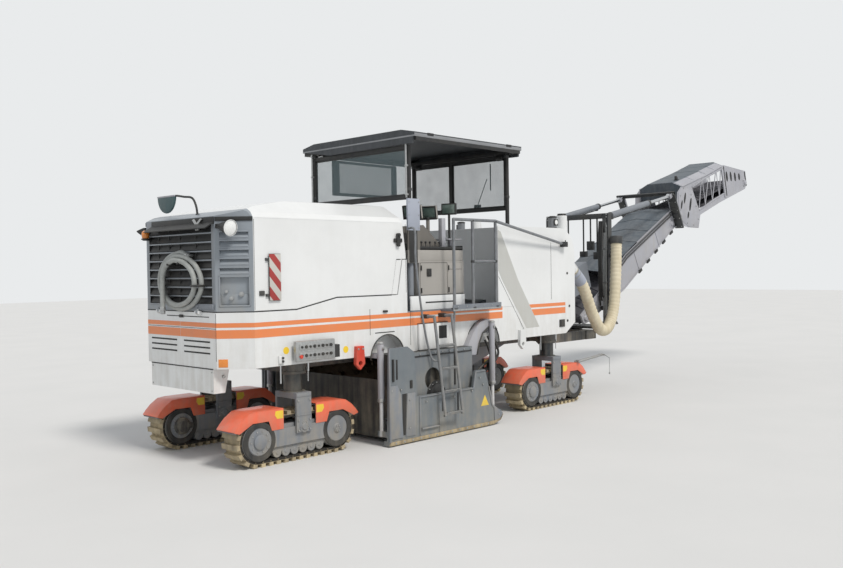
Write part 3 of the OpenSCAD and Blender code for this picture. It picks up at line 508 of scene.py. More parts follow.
# Beaded reflective sheeting in muted red and white
HAZARD = SlantedStripes("red_white_sheeting", "#A03A36", "#C4C1BA", 110, 1.15)


@dataclass
class Shape:
    """A mesh in the making, in mm from the rear face, drawn in a frame of its own."""

    turn: Matrix = field(default_factory=Matrix)
    bm: bmesh.types.BMesh = field(default_factory=bmesh.new)

    def bevelled(self, verts: Sequence[bmesh.types.BMVert], width: float, segments: int = 2) -> None:
        """Rounds the edges between the given vertices.

        Args:
            verts: Corners of the part to round.
            width: Width of the bevel in mm.
            segments: Steps round each edge.
        """
        if width <= 0:
            return
        chosen = set(verts)
        edges = [e for e in self.bm.edges if e.verts[0] in chosen and e.verts[1] in chosen
                 and (len(e.link_faces) < 2 or e.calc_face_angle(0.0) > 0.5)]
        bmesh.ops.bevel(self.bm, geom=edges, offset=width, offset_type="OFFSET", segments=segments, profile=0.5,
                        affect="EDGES", material=-1)

    def box(self, low: Point, high: Point, bevel: float = 0.0) -> None:
        """Adds a block between two corners.

        Args:
            low: One corner.
            high: The corner across from it.
            bevel: Width of the rounded edges.
        """
        centre = [(a + b) / 2 for a, b in zip(low, high)]
        size = [max(abs(b - a), 0.01) for a, b in zip(low, high)]
        matrix = self.turn @ Matrix.Translation(centre) @ Matrix.Diagonal((*size, 1.0))
        made = bmesh.ops.create_cube(self.bm, size=1.0, matrix=matrix)
        self.bevelled(made["verts"], bevel)

    def surround(self, depth: tuple[float, float], low: tuple[float, float], high: tuple[float, float],
                 width: float, bevel: float) -> None:
        """Adds four bars round an opening that faces along X.

        Args:
            depth: Where the bars start and end along X.
            low: Lowest Y and Z of the frame.
            high: Highest Y and Z of the frame.
            width: Width of the bars.
            bevel: Width of the rounded edges.
        """
        (y0, z0), (y1, z1) = low, high
        for left, foot, right, head in ((y0, z0, y1, z0 + width), (y0, z1 - width, y1, z1),
                                        (y0, z0, y0 + width, z1), (y1 - width, z0, y1, z1)):
            self.box((depth[0], left, foot), (depth[1], right, head), bevel)

    def rod(self, start: Point, end: Point, radius: float, sides: int = 20, bevel: float = 0.0,
            far_radius: float | None = None) -> None:
        """Adds a round bar or cone between two points.

        Args:
            start: Middle of the first end.
            end: Middle of the other end.
            radius: Radius at the first end.
            sides: Number of sides.
            bevel: Width of the rounded rims.
            far_radius: Radius at the other end, if it differs.
        """
        a, b = Vector(start), Vector(end)
        way = b - a
        matrix = self.turn @ Matrix.Translation((a + b) / 2) @ towards(way)
        made = bmesh.ops.create_cone(self.bm, cap_ends=True, segments=sides, radius1=radius,
                                     radius2=radius if far_radius is None else far_radius, depth=way.length,
                                     matrix=matrix)
        self.bevelled(made["verts"], bevel)

    def ball(self, centre: Point, radius: float, squash: Point = (1, 1, 1)) -> None:
        """Adds a ball, stretched along its own axes if wanted."""
        matrix = self.turn @ Matrix.Translation(centre) @ Matrix.Diagonal((*squash, 1.0))
        bmesh.ops.create_uvsphere(self.bm, u_segments=20, v_segments=12, radius=radius, matrix=matrix)

    def plate(self, outline: Outline, axis: Axis, start: float, thickness: float, bevel: float = 0.0) -> None:
        """Adds a plate with a drawn outline.

        Args:
            outline: Corners of the plate in the two axes of the drawing.
            axis: Direction of its thickness.
            start: Where it starts along that axis.
            thickness: How far it goes on from there.
            bevel: Width of the rounded edges.
        """
        corners = [self.bm.verts.new(self.turn @ axis.spot(pair, start)) for pair in outline]
        face = self.bm.faces.new(corners)
        grown = bmesh.ops.extrude_face_region(self.bm, geom=[face])
        verts = [g for g in grown["geom"] if isinstance(g, bmesh.types.BMVert)]
        bmesh.ops.translate(self.bm, verts=verts, vec=self.turn.to_3x3() @ axis.spot((0, 0), thickness))
        bmesh.ops.recalc_face_normals(self.bm, faces=list({f for v in corners + verts for f in v.link_faces}))
        self.bevelled(corners + verts, bevel)

    def ribbon(self, path: Sequence[Point], rise: Point) -> None:
        """Adds a strip that follows a path, widened by one step.

        Args:
            path: Points of its lower edge.
            rise: Step from the lower to the upper edge.
        """
        verts = [self.bm.verts.new(self.turn @ Vector(p)) for p in path]
        edges = [self.bm.edges.new(pair) for pair in zip(verts, verts[1:])]
        grown = bmesh.ops.extrude_edge_only(self.bm, edges=edges)
        upper = [g for g in grown["geom"] if isinstance(g, bmesh.types.BMVert)]
        bmesh.ops.translate(self.bm, verts=upper, vec=self.turn.to_3x3() @ Vector(rise))

    def turned(self, profile: Outline, centre: Point, axis: Point, sides: int = 24) -> None:
        """Adds a shape spun from a profile of radius and distance along an axis.

        Args:
            profile: Pairs of radius and place along the axis, from one end to the other.
            centre: Point on the axis.
            axis: Direction of the axis.
            sides: Number of steps round it.
        """
        matrix = self.turn @ Matrix.Translation(centre) @ towards(axis)
        verts = [self.bm.verts.new(matrix @ Vector((max(r, 0.01), 0, h))) for r, h in profile]
        edges = [self.bm.edges.new(pair) for pair in zip(verts, verts[1:])]
        spun = bmesh.ops.spin(self.bm, geom=verts + edges, cent=matrix.translation,
                              axis=matrix.to_3x3() @ Vector((0, 0, 1)), angle=2 * pi, steps=sides,
                              use_merge=True)
        last = [g for g in spun["geom_last"] if isinstance(g, bmesh.types.BMVert)]
        region = {f for v in verts + last for f in v.link_faces}
        bmesh.ops.remove_doubles(self.bm, verts=list({v for f in region for v in f.verts}), dist=0.02)

    def swept(self, route: Sequence[Vector | Point], radius: float, sides: int = 16,
              swell: Callable[[int], float] | None = None) -> None:
        """Adds a round tube that follows a smooth route.

        Args:
            route: Close points of its middle line.
            radius: Radius of the tube.
            sides: Number of sides.
            swell: Gives how much the radius grows at each point, if it does.
        """
        route = [self.turn @ Vector(p) for p in route]
        older = set(self.bm.verts)
        start = bmesh.ops.create_circle(self.bm, cap_ends=False, segments=sides, radius=1.0)["verts"]
        loop = list({e for v in start for e in v.link_edges})
        bmesh.ops.spin(self.bm, geom=start + loop, cent=(0, 0, 0), axis=(0, 0, 1), angle=0.0, dvec=(0, 0, 1),
                       steps=len(route) - 1)
        tube = [v for v in self.bm.verts if v not in older]
        side = Vector((0, 1, 0))
        frames = []
        for i, spot in enumerate(route):
            way = (route[min(i + 1, len(route) - 1)] - route[max(i - 1, 0)]).normalized()
            side = (side - way * side.dot(way)).normalized()
            frames.append((spot, side, way.cross(side)))
        for vert in tube:
            i = min(max(round(vert.co.z), 0), len(route) - 1)
            spot, one, two = frames[i]
            reach = radius + (swell(i) if swell else 0.0)
            vert.co = spot + one * vert.co.x * reach + two * vert.co.y * reach
        ends = [e for v in tube for e in v.link_edges if len(e.link_faces) == 1]
        bmesh.ops.holes_fill(self.bm, edges=list(set(ends)), sides=0)

    def studs(self, spots: Outline, axis: Axis, start: float, end: float, radius: float, sides: int = 6,
              bevel: float = 0.0) -> None:
        """Adds a round bar along an axis at each spot, drawn as an outline's corners are."""
        for pair in spots:
            self.rod(axis.spot(pair, start), axis.spot(pair, end), radius, sides, bevel=bevel)

    def folded(self, ends: Outline, section: Outline) -> None:
        """Adds a thin sheet between two ends, folded along its length.

        Args:
            ends: Place along X and height of each end.
            section: Y of each fold, and its rise above the height.
        """
        chains = []
        for u, v in ends:
            row = [self.bm.verts.new(self.turn @ Vector((u, y, v + rise))) for y, rise in section]
            chains += [self.bm.edges.new(pair) for pair in zip(row, row[1:])]
        bmesh.ops.bridge_loops(self.bm, edges=chains)

    def mirrored(self) -> Shape:
        """Adds a copy of everything so far on the other side of the machine.

        Returns:
            This shape.
        """
        copy = bmesh.ops.duplicate(self.bm, geom=self.bm.verts[:] + self.bm.edges[:] + self.bm.faces[:])["geom"]
        verts = [g for g in copy if isinstance(g, bmesh.types.BMVert)]
        faces = [g for g in copy if isinstance(g, bmesh.types.BMFace)]
        bmesh.ops.scale(self.bm, vec=(1, -1, 1), verts=verts)
        bmesh.ops.reverse_faces(self.bm, faces=faces)
        return self

    def pair(self, name: str, finish: Finish | SlantedStripes, body: str = "chassis") -> None:
        """Finishes the shape together with its mirror image on the other side."""
        self.mirrored().piece(name, finish, body)

    def piece(self, name: str, finish: Finish | Pane | SlantedStripes, body: str | None = "chassis",
              smooth_deg: float = 32.0, slot: str | None = None) -> bpy.types.Object:
        """Turns the mesh to metres, dresses it and lets it ride on a body.

        Args:
            name: Name of the piece.
            finish: Its surface.
            body: CAD body that it moves with, or none if it rides on no body.
            smooth_deg: Edges flatter than this are shaded smooth.
            slot: Material slot of the record for the piece; not used.

        Returns:
            The finished object.
        """
        bmesh.ops.recalc_face_normals(self.bm, faces=self.bm.faces[:])
        bmesh.ops.transform(self.bm, matrix=Matrix.Translation((REAR_FACE_X, 0, 0)) @ Matrix.Scale(MM, 4),
                            verts=self.bm.verts[:])
        for face in self.bm.faces:
            face.smooth = True
        for edge in self.bm.edges:
            edge.smooth = len(edge.link_faces) == 2 and edge.calc_face_angle(0.0) < radians(smooth_deg)
        mesh = bpy.data.meshes.new(name)
        self.bm.to_mesh(mesh)
        self.bm.free()
        piece = bpy.data.objects.new(name, mesh)
        bpy.context.scene.collection.objects.link(piece)
        mesh.materials.append(finish.material())
        if body:
            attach(piece, body)
        LOG.info("%s rides on %s, %d faces", name, body, len(mesh.polygons))
        return piece


def smooth_route(points: Sequence[Point], steps: int) -> list[Vector]:
    """Runs a smooth curve through points.

    Args:
        points: Points that it passes through.
        steps: Steps on each stretch.

    Returns:
        Close points along the curve.
    """
    spots = [Vector(p) for p in points]
    route = []
    for i in range(len(spots) - 1):
        a, b = spots[max(i - 1, 0)], spots[i]
        c, d = spots[i + 1], spots[min(i + 2, len(spots) - 1)]
        for k in range(steps):
            t = k / steps
            route.append(0.5 * (2 * b + (c - a) * t + (2 * a - 5 * b + 4 * c - d) * t * t
                                + (3 * b - a - 3 * c + d) * t ** 3))
    route.append(spots[-1])
    return route


def dress(names: Sequence[str], finish: Finish | Pane, bevel_mm: float = 0.0) -> None:
    """Gives CAD nodes a finish, and rounds their sharp edges if wanted.

    Args:
        names: Names of the nodes.
        finish: Their surface.
        bevel_mm: Width of the rounded edges.
    """
    for name in names:
        node = frame["nodes"][name]
        node.data.materials.clear()
        node.data.materials.append(finish.material())
        if bevel_mm > 0:
            weld = node.modifiers.new("weld", "WELD")
            weld.merge_threshold = 0.0002
            bevel = node.modifiers.new("soft_edges", "BEVEL")
            bevel.width = bevel_mm * MM
            bevel.segments = 2
            bevel.limit_method = "ANGLE"
            bevel.angle_limit = radians(35)
            bevel.harden_normals = True


def corner_frame(side: Side) -> Matrix:
    """Gives the frame in the middle of a slanted rear corner, with X pointing out of it and Z up."""
    spot = Matrix.Translation((CORNER / 2, side.value * (BODY_HALF + REAR_HALF) / 2, 0))
    return spot @ Matrix.Rotation(radians(side.value * 135), 4, "Z")


@dataclass
class Studio:
    """Camera at the photograph's angle, pale floor, soft sun and sky."""

    eye: Point = (-5466.0, -9125.0, 2220.0)
    yaw_deg: float = 46.257
    pitch_deg: float = 1.039
    roll_deg: float = -0.856
    lens_mm: float = 37.66
    floor_half_m: float = 60.0
    sun_from: Point = (-0.05, -1.0, 1.25)
    sun_strength: float = 2.15
    sky_strength: float = 0.62

    def build(self) -> None:
        """Makes the camera, the floor, the world and the sun."""
        self.camera()
        self.floor()
        self.sky()
        self.sun()

    def camera(self) -> None:
        """Sets the camera by its yaw, pitch and roll."""
        yaw, pitch, roll = (radians(a) for a in (self.yaw_deg, self.pitch_deg, self.roll_deg))
        ahead = Vector((sin(yaw) * cos(pitch), cos(yaw) * cos(pitch), -sin(pitch)))
        level = Vector((cos(yaw), -sin(yaw), 0))
        upright = level.cross(ahead)
        right = level * cos(roll) + upright * sin(roll)
        up = upright * cos(roll) - level * sin(roll)
        camera = bpy.data.objects.new("camera", bpy.data.cameras.new("camera"))
        turn = Matrix((right, up, -ahead)).transposed().to_4x4()
        camera.matrix_world = Matrix.Translation(metres(self.eye)) @ turn
        camera.data.lens = self.lens_mm
        camera.data.clip_end = 500
        bpy.context.scene.collection.objects.link(camera)
        bpy.context.scene.camera = camera

    def floor(self) -> None:
        """Makes the pale floor, which isn't part of the object."""
        bm = bmesh.new()
        bmesh.ops.create_grid(bm, x_segments=1, y_segments=1, size=self.floor_half_m)
        mesh = bpy.data.meshes.new("floor")
        bm.to_mesh(mesh)
        bm.free()
        floor = bpy.data.objects.new("floor", mesh)
        bpy.context.scene.collection.objects.link(floor)
        material, tree, shader = blank_material("pale_floor")
        place = add(tree, "TexCoord").outputs["Object"]
        cloud = add(tree, "TexNoise", {"Vector": place, "Scale": 0.7, "Detail": 5.0})
        tone = add(tree, "Mix", {"Factor": cloud.outputs["Fac"], 6: srgb("#D2D3D2"), 7: srgb("#DBDBDA")},
                   data_type="RGBA")
        tree.links.new(tone.outputs[2], shader.inputs["Base Color"])
        shader.inputs["Roughness"].default_value = 0.9
        mesh.materials.append(material)

    def sky(self) -> None:
        """Lights the scene evenly and shows a pale backdrop to the camera, mirrors and glass."""
        world = bpy.data.worlds.new("pale_sky")
        bpy.context.scene.world = world
        world.use_nodes = True
        tree = world.node_tree
        tree.nodes.clear()
        path = add(tree, "LightPath").outputs
        seen = add(tree, "Math", {0: path["Is Camera Ray"], 1: path["Is Glossy Ray"]}, operation="MAXIMUM")
        seen = add(tree, "Math", {0: seen.outputs[0], 1: path["Is Transmission Ray"]}, operation="MAXIMUM")
        light = add(tree, "Background", {"Color": srgb("#F1F4F8"), "Strength": self.sky_strength})
        shown = add(tree, "Background", {"Color": srgb("#E9EBEC"), "Strength": 1.0})
        both = add(tree, "MixShader", {0: seen.outputs[0], 1: light.outputs[0], 2: shown.outputs[0]})
        add(tree, "OutputWorld", {"Surface": both.outputs[0]})

    def sun(self) -> None:
        """Adds one broad soft sun from the machine's right."""
        sun = bpy.data.objects.new("soft_sun", bpy.data.lights.new("soft_sun", "SUN"))
        sun.data.energy = self.sun_strength
        sun.data.angle = radians(14)
        sun.data.color = srgb("#FFFAF4")[:3]
        sun.rotation_mode = "QUATERNION"
        sun.rotation_quaternion = Vector(self.sun_from).to_track_quat("Z", "Y")
        bpy.context.scene.collection.objects.link(sun)


@dataclass
class WaterHose:
    """Free water hose, two turns hung on the hooks of the grille, with its end hanging at the left."""

    diameter: float = 58.0
    depths: tuple[tuple[int, float], ...] = ((0, -44), (9, -46), (12, -81), (15, -46), (18, -84), (24, -118))
    tail: tuple[Point, ...] = (
        (-120, -10, 2336), (-121, 92, 2285), (-122, 150, 2200), (-122, 172, 2090), (-122, 178, 1960),
        (-122, 178, 1850), (-122, 174, 1772),
    )

    def points(self) -> list[Point]:
        """Lists the points of its middle line, from the coupling to the free end.

        Returns:
            Points in mm from the rear face.
        """
        points: list[Point] = [(-44, -235, 2402), (-44, -165, 2428)]
        for k in range(25):
            share = k / 24
            angle = radians(90 - 30 * k)
            across = -99 + (478 - 116 * share) * cos(angle)
            height = 2104 + (334 - 88 * share) * sin(angle)
            for (k0, x0), (k1, x1) in zip(self.depths, self.depths[1:]):
                if k0 <= k <= k1:
                    depth = x0 + (x1 - x0) * (k - k0) / (k1 - k0)
            points.append((depth, across, height))
        return points + list(self.tail)

    def build(self) -> None:
        """Makes the hose, its two couplings and its tie."""
        route = smooth_route(self.points(), 6)
        shape = Shape()
        shape.swept(route, self.diameter / 2 - 1, 14, lambda i: 1.0 if i % 2 else 0.0)
        hose = shape.piece("water_hose", WATER_HOSE, "hood", 60, "hose_grey")
        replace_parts(hose, "hose_coil", "hose_tail")
        way = (route[-1] - route[-4]).normalized()
        tip = Shape(Matrix.Translation(route[-1]))
        tip.rod(way * -40, way * 8, 33, 20, 3)
        tip.rod(way * 8, way * 40, 28, 6, 2)
        tip.rod(way * 40, way * 46, 20)
        fitting = tip.piece("hose_end_coupling", ZINC, "hood")
        tap = Shape(Matrix.Translation(route[0]))
        tap.rod((0, 4, 0), (0, -34, 0), 33, 20, 3)
        tap.rod((0, -30, 0), (0, -58, 0), 22, 6, 2)
        tap.rod((0, -44, 0), (48, -44, 0), 15, 16, 2)
        tap.piece("hose_tap", ZINC, "hood")
        tie = Shape()
        tie.box((-136, -572, 2045), (-14, -436, 2070), 8)
        tie.piece("hose_tie", BLACK_PLASTIC, "hood")


@dataclass
class RearEnd:
    """Slanted corners with louvres, grille, visor, lamps, mirror and the white panel below them."""

    slats: int = 9
    grille_low: float = 1827.3
    grille_high: float = 2739.7
    slat_t: float = 18.0
    grille_half: float = 715.0
    louvres: int = 5
    louvre_z: float = 2190.0
    louvre_pitch: float = 100.0
    slot_half: float = 160.0
    visor_end: float = 600.0

    def build(self) -> None:
        """Dresses the nodes of the rear end and adds its detail."""
        dress(["rear_cowl"], COWL_PAINT, 4)
        self.grille()
        self.grille_blades()
        self.corner_panels()
        self.visor()
        self.lamps()
        self.fittings()
        self.mirror()
        self.lower_panel()

    def grille(self) -> None:
        """Replaces the grille by one with a visor that stops at the amber lamp, and two hooks."""
        low, high, half = self.grille_low, self.grille_high, self.grille_half
        pitch = (high - low) / self.slats
        # Back plate, side frames and slat sides are near black: painted shade in the grille's depth, with grey
        # only on the slats' front faces
        slats = Shape()
        for k in range(self.slats):
            slats.box((0, -half + 40, low + k * pitch), (38, half - 40, low + k * pitch + self.slat_t))
        slats.box((36, -half, low), (50, half, high))
        for side in SIDES:
            slats.box((0, side * (half - 40), low), (36, side * half, high))
        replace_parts(slats.piece("rear_grille", DARK_PAINT_AND_GRILLE_SHADE, "hood", slot="dark_paint"), "grille")
        visor = Shape()
        visor.plate([(-120, 2700), (-112, 2690), (-0.5, 2760), (-0.5, 2770)], Axis.Y, -REAR_HALF,
                    self.visor_end + REAR_HALF)
        for y, z in ((-200, 2312), (20, 2302)):
            visor.rod((1, y, z), (-152, y, z), 12, 16, 2)
        visor.piece("rear_visor_and_hooks", BLACK_PLASTIC, "hood")

    def grille_blades(self) -> None:
        """Adds the slanted blades and upright stays behind the slats."""
        pitch = (self.grille_high - self.grille_low) / self.slats
        blades = Shape()
        for k in range(self.slats):
            low = self.grille_low + k * pitch + self.slat_t
            blades.plate([(7, low + 3), (33, low + 66), (30, low + 70), (3, low + 7)], Axis.Y, -672, 1344)
        for y in (-340, 0, 230, 470):
            blades.box((8, y - 4, self.grille_low + 12), (20, y + 4, self.grille_high - 12))
        blades.piece("grille_blades", BLACK_PLASTIC, "hood")
        lips = Shape()
        for k in range(self.slats):
            low = self.grille_low + k * pitch
            lips.box((-9, -676, low + 2), (1, 676, low + self.slat_t - 3), 3.5)
        lips.piece("grille_slat_noses", COWL_PAINT, "hood")

    def corner_panels(self) -> None:
        """Adds louvre blades, ridges and the pocket's rim and couplings on both corners."""
        blades, pocket, couplings = Shape(), Shape(), Shape()
        half, low, high = self.slot_half, SEAM_LOW + 56, 2164
        for side in Side:
            blades.turn = pocket.turn = couplings.turn = corner_frame(side)
            for k in range(self.louvres):
                z = self.louvre_z + k * self.louvre_pitch
                blades.plate([(-4, z + 2), (5, z - 2), (-28, z + 52), (-34, z + 50)], Axis.Y, 1 - half,
                             2 * half - 2)
                blades.box((-1, -half - 6, z + 60), (11, half + 6, z + 76), 4)
            pocket.surround((-2, 9), (-half - 14, low), (half + 14, high), 14, 4)
            pocket.box((-36, -150, 1850), (-30, 150, 1960), 3)
            for y, z, r in ((-40, 1915, 24), (70, 1960, 28), (-95, 1990, 18)):
                couplings.rod((-37, y, z), (-8, y, z), r, 20, 3)
                couplings.rod((-9, y, z), (2, y, z), r * 0.6, 6, 1.5)
        blades.piece("corner_louvres", COWL_PAINT, "hood")
        pocket.piece("corner_pocket_rims", COWL_PAINT, "hood")
        couplings.piece("corner_pocket_couplings", ZINC, "hood")

    def visor(self) -> None:
        """Adds the black band and lip over the grille and the corners."""
        band = Shape()
        band.box((-10, -REAR_HALF + 2, self.grille_high + 4), (2, self.visor_end, REAR_TOP - 8), 3)
        for side in Side:
            band.turn = corner_frame(side)
            band.box((-2, -208, REAR_TOP - 58), (10, 208, REAR_TOP - 10), 3)
        band.piece("rear_visor_band", BLACK_PLASTIC, "hood")

    def lamps(self) -> None:
        """Replaces the lamp blocks by a round work lamp at the right and a flat one at the left."""
        housing, lens = Shape(), Shape()
        housing.rod((20, -780, 2716), (35, -1000, 2688), 24, 28, 5, 90)
        housing.box((-6, -800, 2690), (60, -760, 2742), 6)
        housing.turn = corner_frame(Side.LEFT)
        housing.plate([(0.5, 2652), (84, 2664), (150, 2716), (152, 2728), (70, 2764), (0.5, 2770)], Axis.Y,
                      -150, 262, 9)
        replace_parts(housing.piece("rear_lamp_housings", BLACK_PLASTIC, "hood", slot="dark_paint"), "rear_lamps")
        lens.turned([(0, 18), (40, 14), (72, 5), (82, 0)], (35, -1000, 2688), (0.07, -0.989, -0.13), 28)
        lens.turned([(84, -2), (90, -2), (90, 6), (84, 6)], (35, -1000, 2688), (0.07, -0.989, -0.13), 28)
        lens.piece("rear_lamp_lens", WHITE_LENS, "hood")
        amber, base = Shape(), Shape()
        amber.turned([(0, 0), (34, 0), (44, 18), (46, 60), (38, 84), (20, 96), (0, 98)], (-60, 655, 2623),
                     (0, 0, 1))
        base.rod((-60, 655, 2609), (-60, 655, 2625), 50, 24, 4)
        base.box((-90, 635, 2599), (4, 675, 2611), 3)
        amber.piece("amber_lamp", AMBER_LENS, "hood")
        base.piece("amber_lamp_base", BLACK_PLASTIC, "hood")

    def fittings(self) -> None:
        """Adds the forked lug and the lower cover."""
        lug = Shape()
        lug.plate([(-400, 2690), (-455, 2690), (-450, 2735), (-532, 2800), (-505, 2812), (-430, 2762),
                   (-370, 2812), (-340, 2800), (-405, 2735)], Axis.X, -34, 20, 4)
        lug.box((-34, -452, 2680), (2, -404, 2702), 4)
        lug.piece("forked_lug", ZINC, "hood")
        cover = Shape()
        cover.box((-30, -712, 1786), (2, -356, 1852), 8)
        cover.box((-38, -690, 1800), (-28, -520, 1838), 4)
        cover.rod((-38, -410, 1818), (-28, -410, 1818), 16, 18, 2)
        cover.piece("rear_lower_cover", STEEL_GREY, "hood")

    def mirror(self) -> None:
        """Replaces the mirror by a half-round one with a teal shell on a bent tube."""
        glass, shell, rim = Shape(), Shape(), Shape()
        for shape, radius, x, thick, bevel in ((shell, 200, 178, 30, 10), (glass, 188, 207, 6, 2)):
            shape.plate(ring(577, 3132, radius, 30, 180)[:16], Axis.X, x, thick, bevel)
        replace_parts(shell.piece("mirror_shell", TEAL_SHELL, "hood", slot="dark_paint"), "rear_mirror")
        glass.piece("mirror_glass", MIRROR_GLASS, "hood")
        rim.box((174, 374, 3126), (216, 780, 3148), 8)
        rim.piece("mirror_rim", SHEET_GREY, "hood")
        tube = Shape()
        route = ((200, 400, 3136), (200, 343, 3133), (200, 200, 3112), (200, 23, 3086), (200, -60, 2990),
                 (200, -90, 2869), (200, -92, 2830))
        tube.swept(smooth_route(route, 8), 13, 14)
        tube.rod((200, -92, 2840), (200, -92, 2894), 24, 20, 4)
        tube.piece("mirror_tube", BLACK_PLASTIC, "hood")

    def lower_panel(self) -> None:
        """Adds the louvre slots, the handle slot, the latch and the seams of the white rear panel."""
        slots = Shape()
        for low, high in ((-612, -71), (82, 654)):
            for z in (1288, 1352, 1416):
                slots.box((-1.8, low, z), (3, high, z + 18), 0.5)
        slots.box((-1.2, -601, 1700), (2, 296, 1710))
        slots.box((-1.6, -735, 1574), (1, 735, 1579))
        slots.box((-1.6, -737, 1215), (1, -732, 1745))
        slots.box((-4, -667, 1118), (3, 667, 1130))
        slots.piece("rear_panel_slots", SEAM_BLACK)
        latch = Shape()
        latch.box((-16, -70, 1688), (1, 10, 1722), 5)
        latch.box((-22, -50, 1696), (-14, -10, 1712), 4)
        latch.piece("rear_panel_latch", BLACK_PLASTIC)
        box_trim = Shape()
        box_trim.rod((126, -692, 1033), (126, -664, 1033), 17, 18, 3)
        box_trim.studs([(y, z) for y in (-640, 640) for z in (880, 1090)], Axis.X, -7, 1, 9)
        box_trim.piece("rear_box_trim", ZINC)
        reflectors = Shape()
        for side in Side:
            middle = 141 * side.value
            reflectors.turn = corner_frame(side)
            reflectors.box((-1, middle - 52, 1150), (4, middle + 52, 1240), 2)
        reflectors.piece("corner_reflectors", AMBER_LENS)


@dataclass
class HoodSkin:
    """White tipping hood with its hazard boards, creases and latches."""

    board_x: tuple[float, float] = (498.0, 654.0)
    board_z: tuple[float, float] = (1880.0, 2402.0)

    def build(self) -> None:
        """Dresses the hood and adds what is fixed to it."""
        dress(["hood_shell"], WHITE_PAINT, 8)
        self.boards()
        self.creases()
        self.latches()

    def boards(self) -> None:
        """Adds a hazard board on a bent bracket on each side."""
        sheeting, brackets = Shape(AT_SIDE), Shape(AT_SIDE)
        (x0, x1), (z0, z1) = self.board_x, self.board_z
        sheeting.box((x0, -26, z0), (x1, -22, z1), 1)
        sheeting.pair("hazard_boards", HAZARD, "hood")
        brackets.box((x0 - 4, -21, z0 - 4), (x1 + 4, -18, z1 + 4), 1)
        for z in (z0 + 60, z1 - 60):
            brackets.box((x0 - 40, -20, z - 16), (x0 + 30, -14, z + 16), 2)
            brackets.box((x0 - 44, -20, z - 16), (x0 - 38, 2, z + 16), 2)
        brackets.box((x0 - 130, -14, z0 + 56), (x0 - 60, 1, z0 + 112), 5)
        brackets.pair("hazard_board_brackets", DARK_STEEL, "hood")

    def creases(self) -> None:
        """Adds the pressed ridges and door seams of the hood's sides."""
        ridges, seams = Shape(AT_SIDE), Shape(AT_SIDE)
        ridges.plate([(330, 2812), (2592, 2812), (2592, 2806), (330, 2806)], Axis.Y, -2, 3)
        ridges.pair("hood_side_ridges", WHITE_PAINT, "hood")
        for x in (308, 2690):
            seams.box((x, -0.8, 1905 if x > 1000 else 1780), (x + 5, 1, 2790))
        seams.pair("hood_side_seams", SEAM_BLACK, "hood")

    def latches(self) -> None:
        """Adds a black rubber latch near the front edge of each side."""
        latch = Shape(AT_SIDE)
        latch.box((2470, -20, 2552), (2620, 0, 2606), 10)
        latch.box((2508, -38, 2500), (2570, -12, 2670), 12)
        latch.rod((2540, -50, 2650), (2540, 0, 2650), 24, 18, 5)
        latch.pair("hood_latches", BLACK_PLASTIC, "hood")


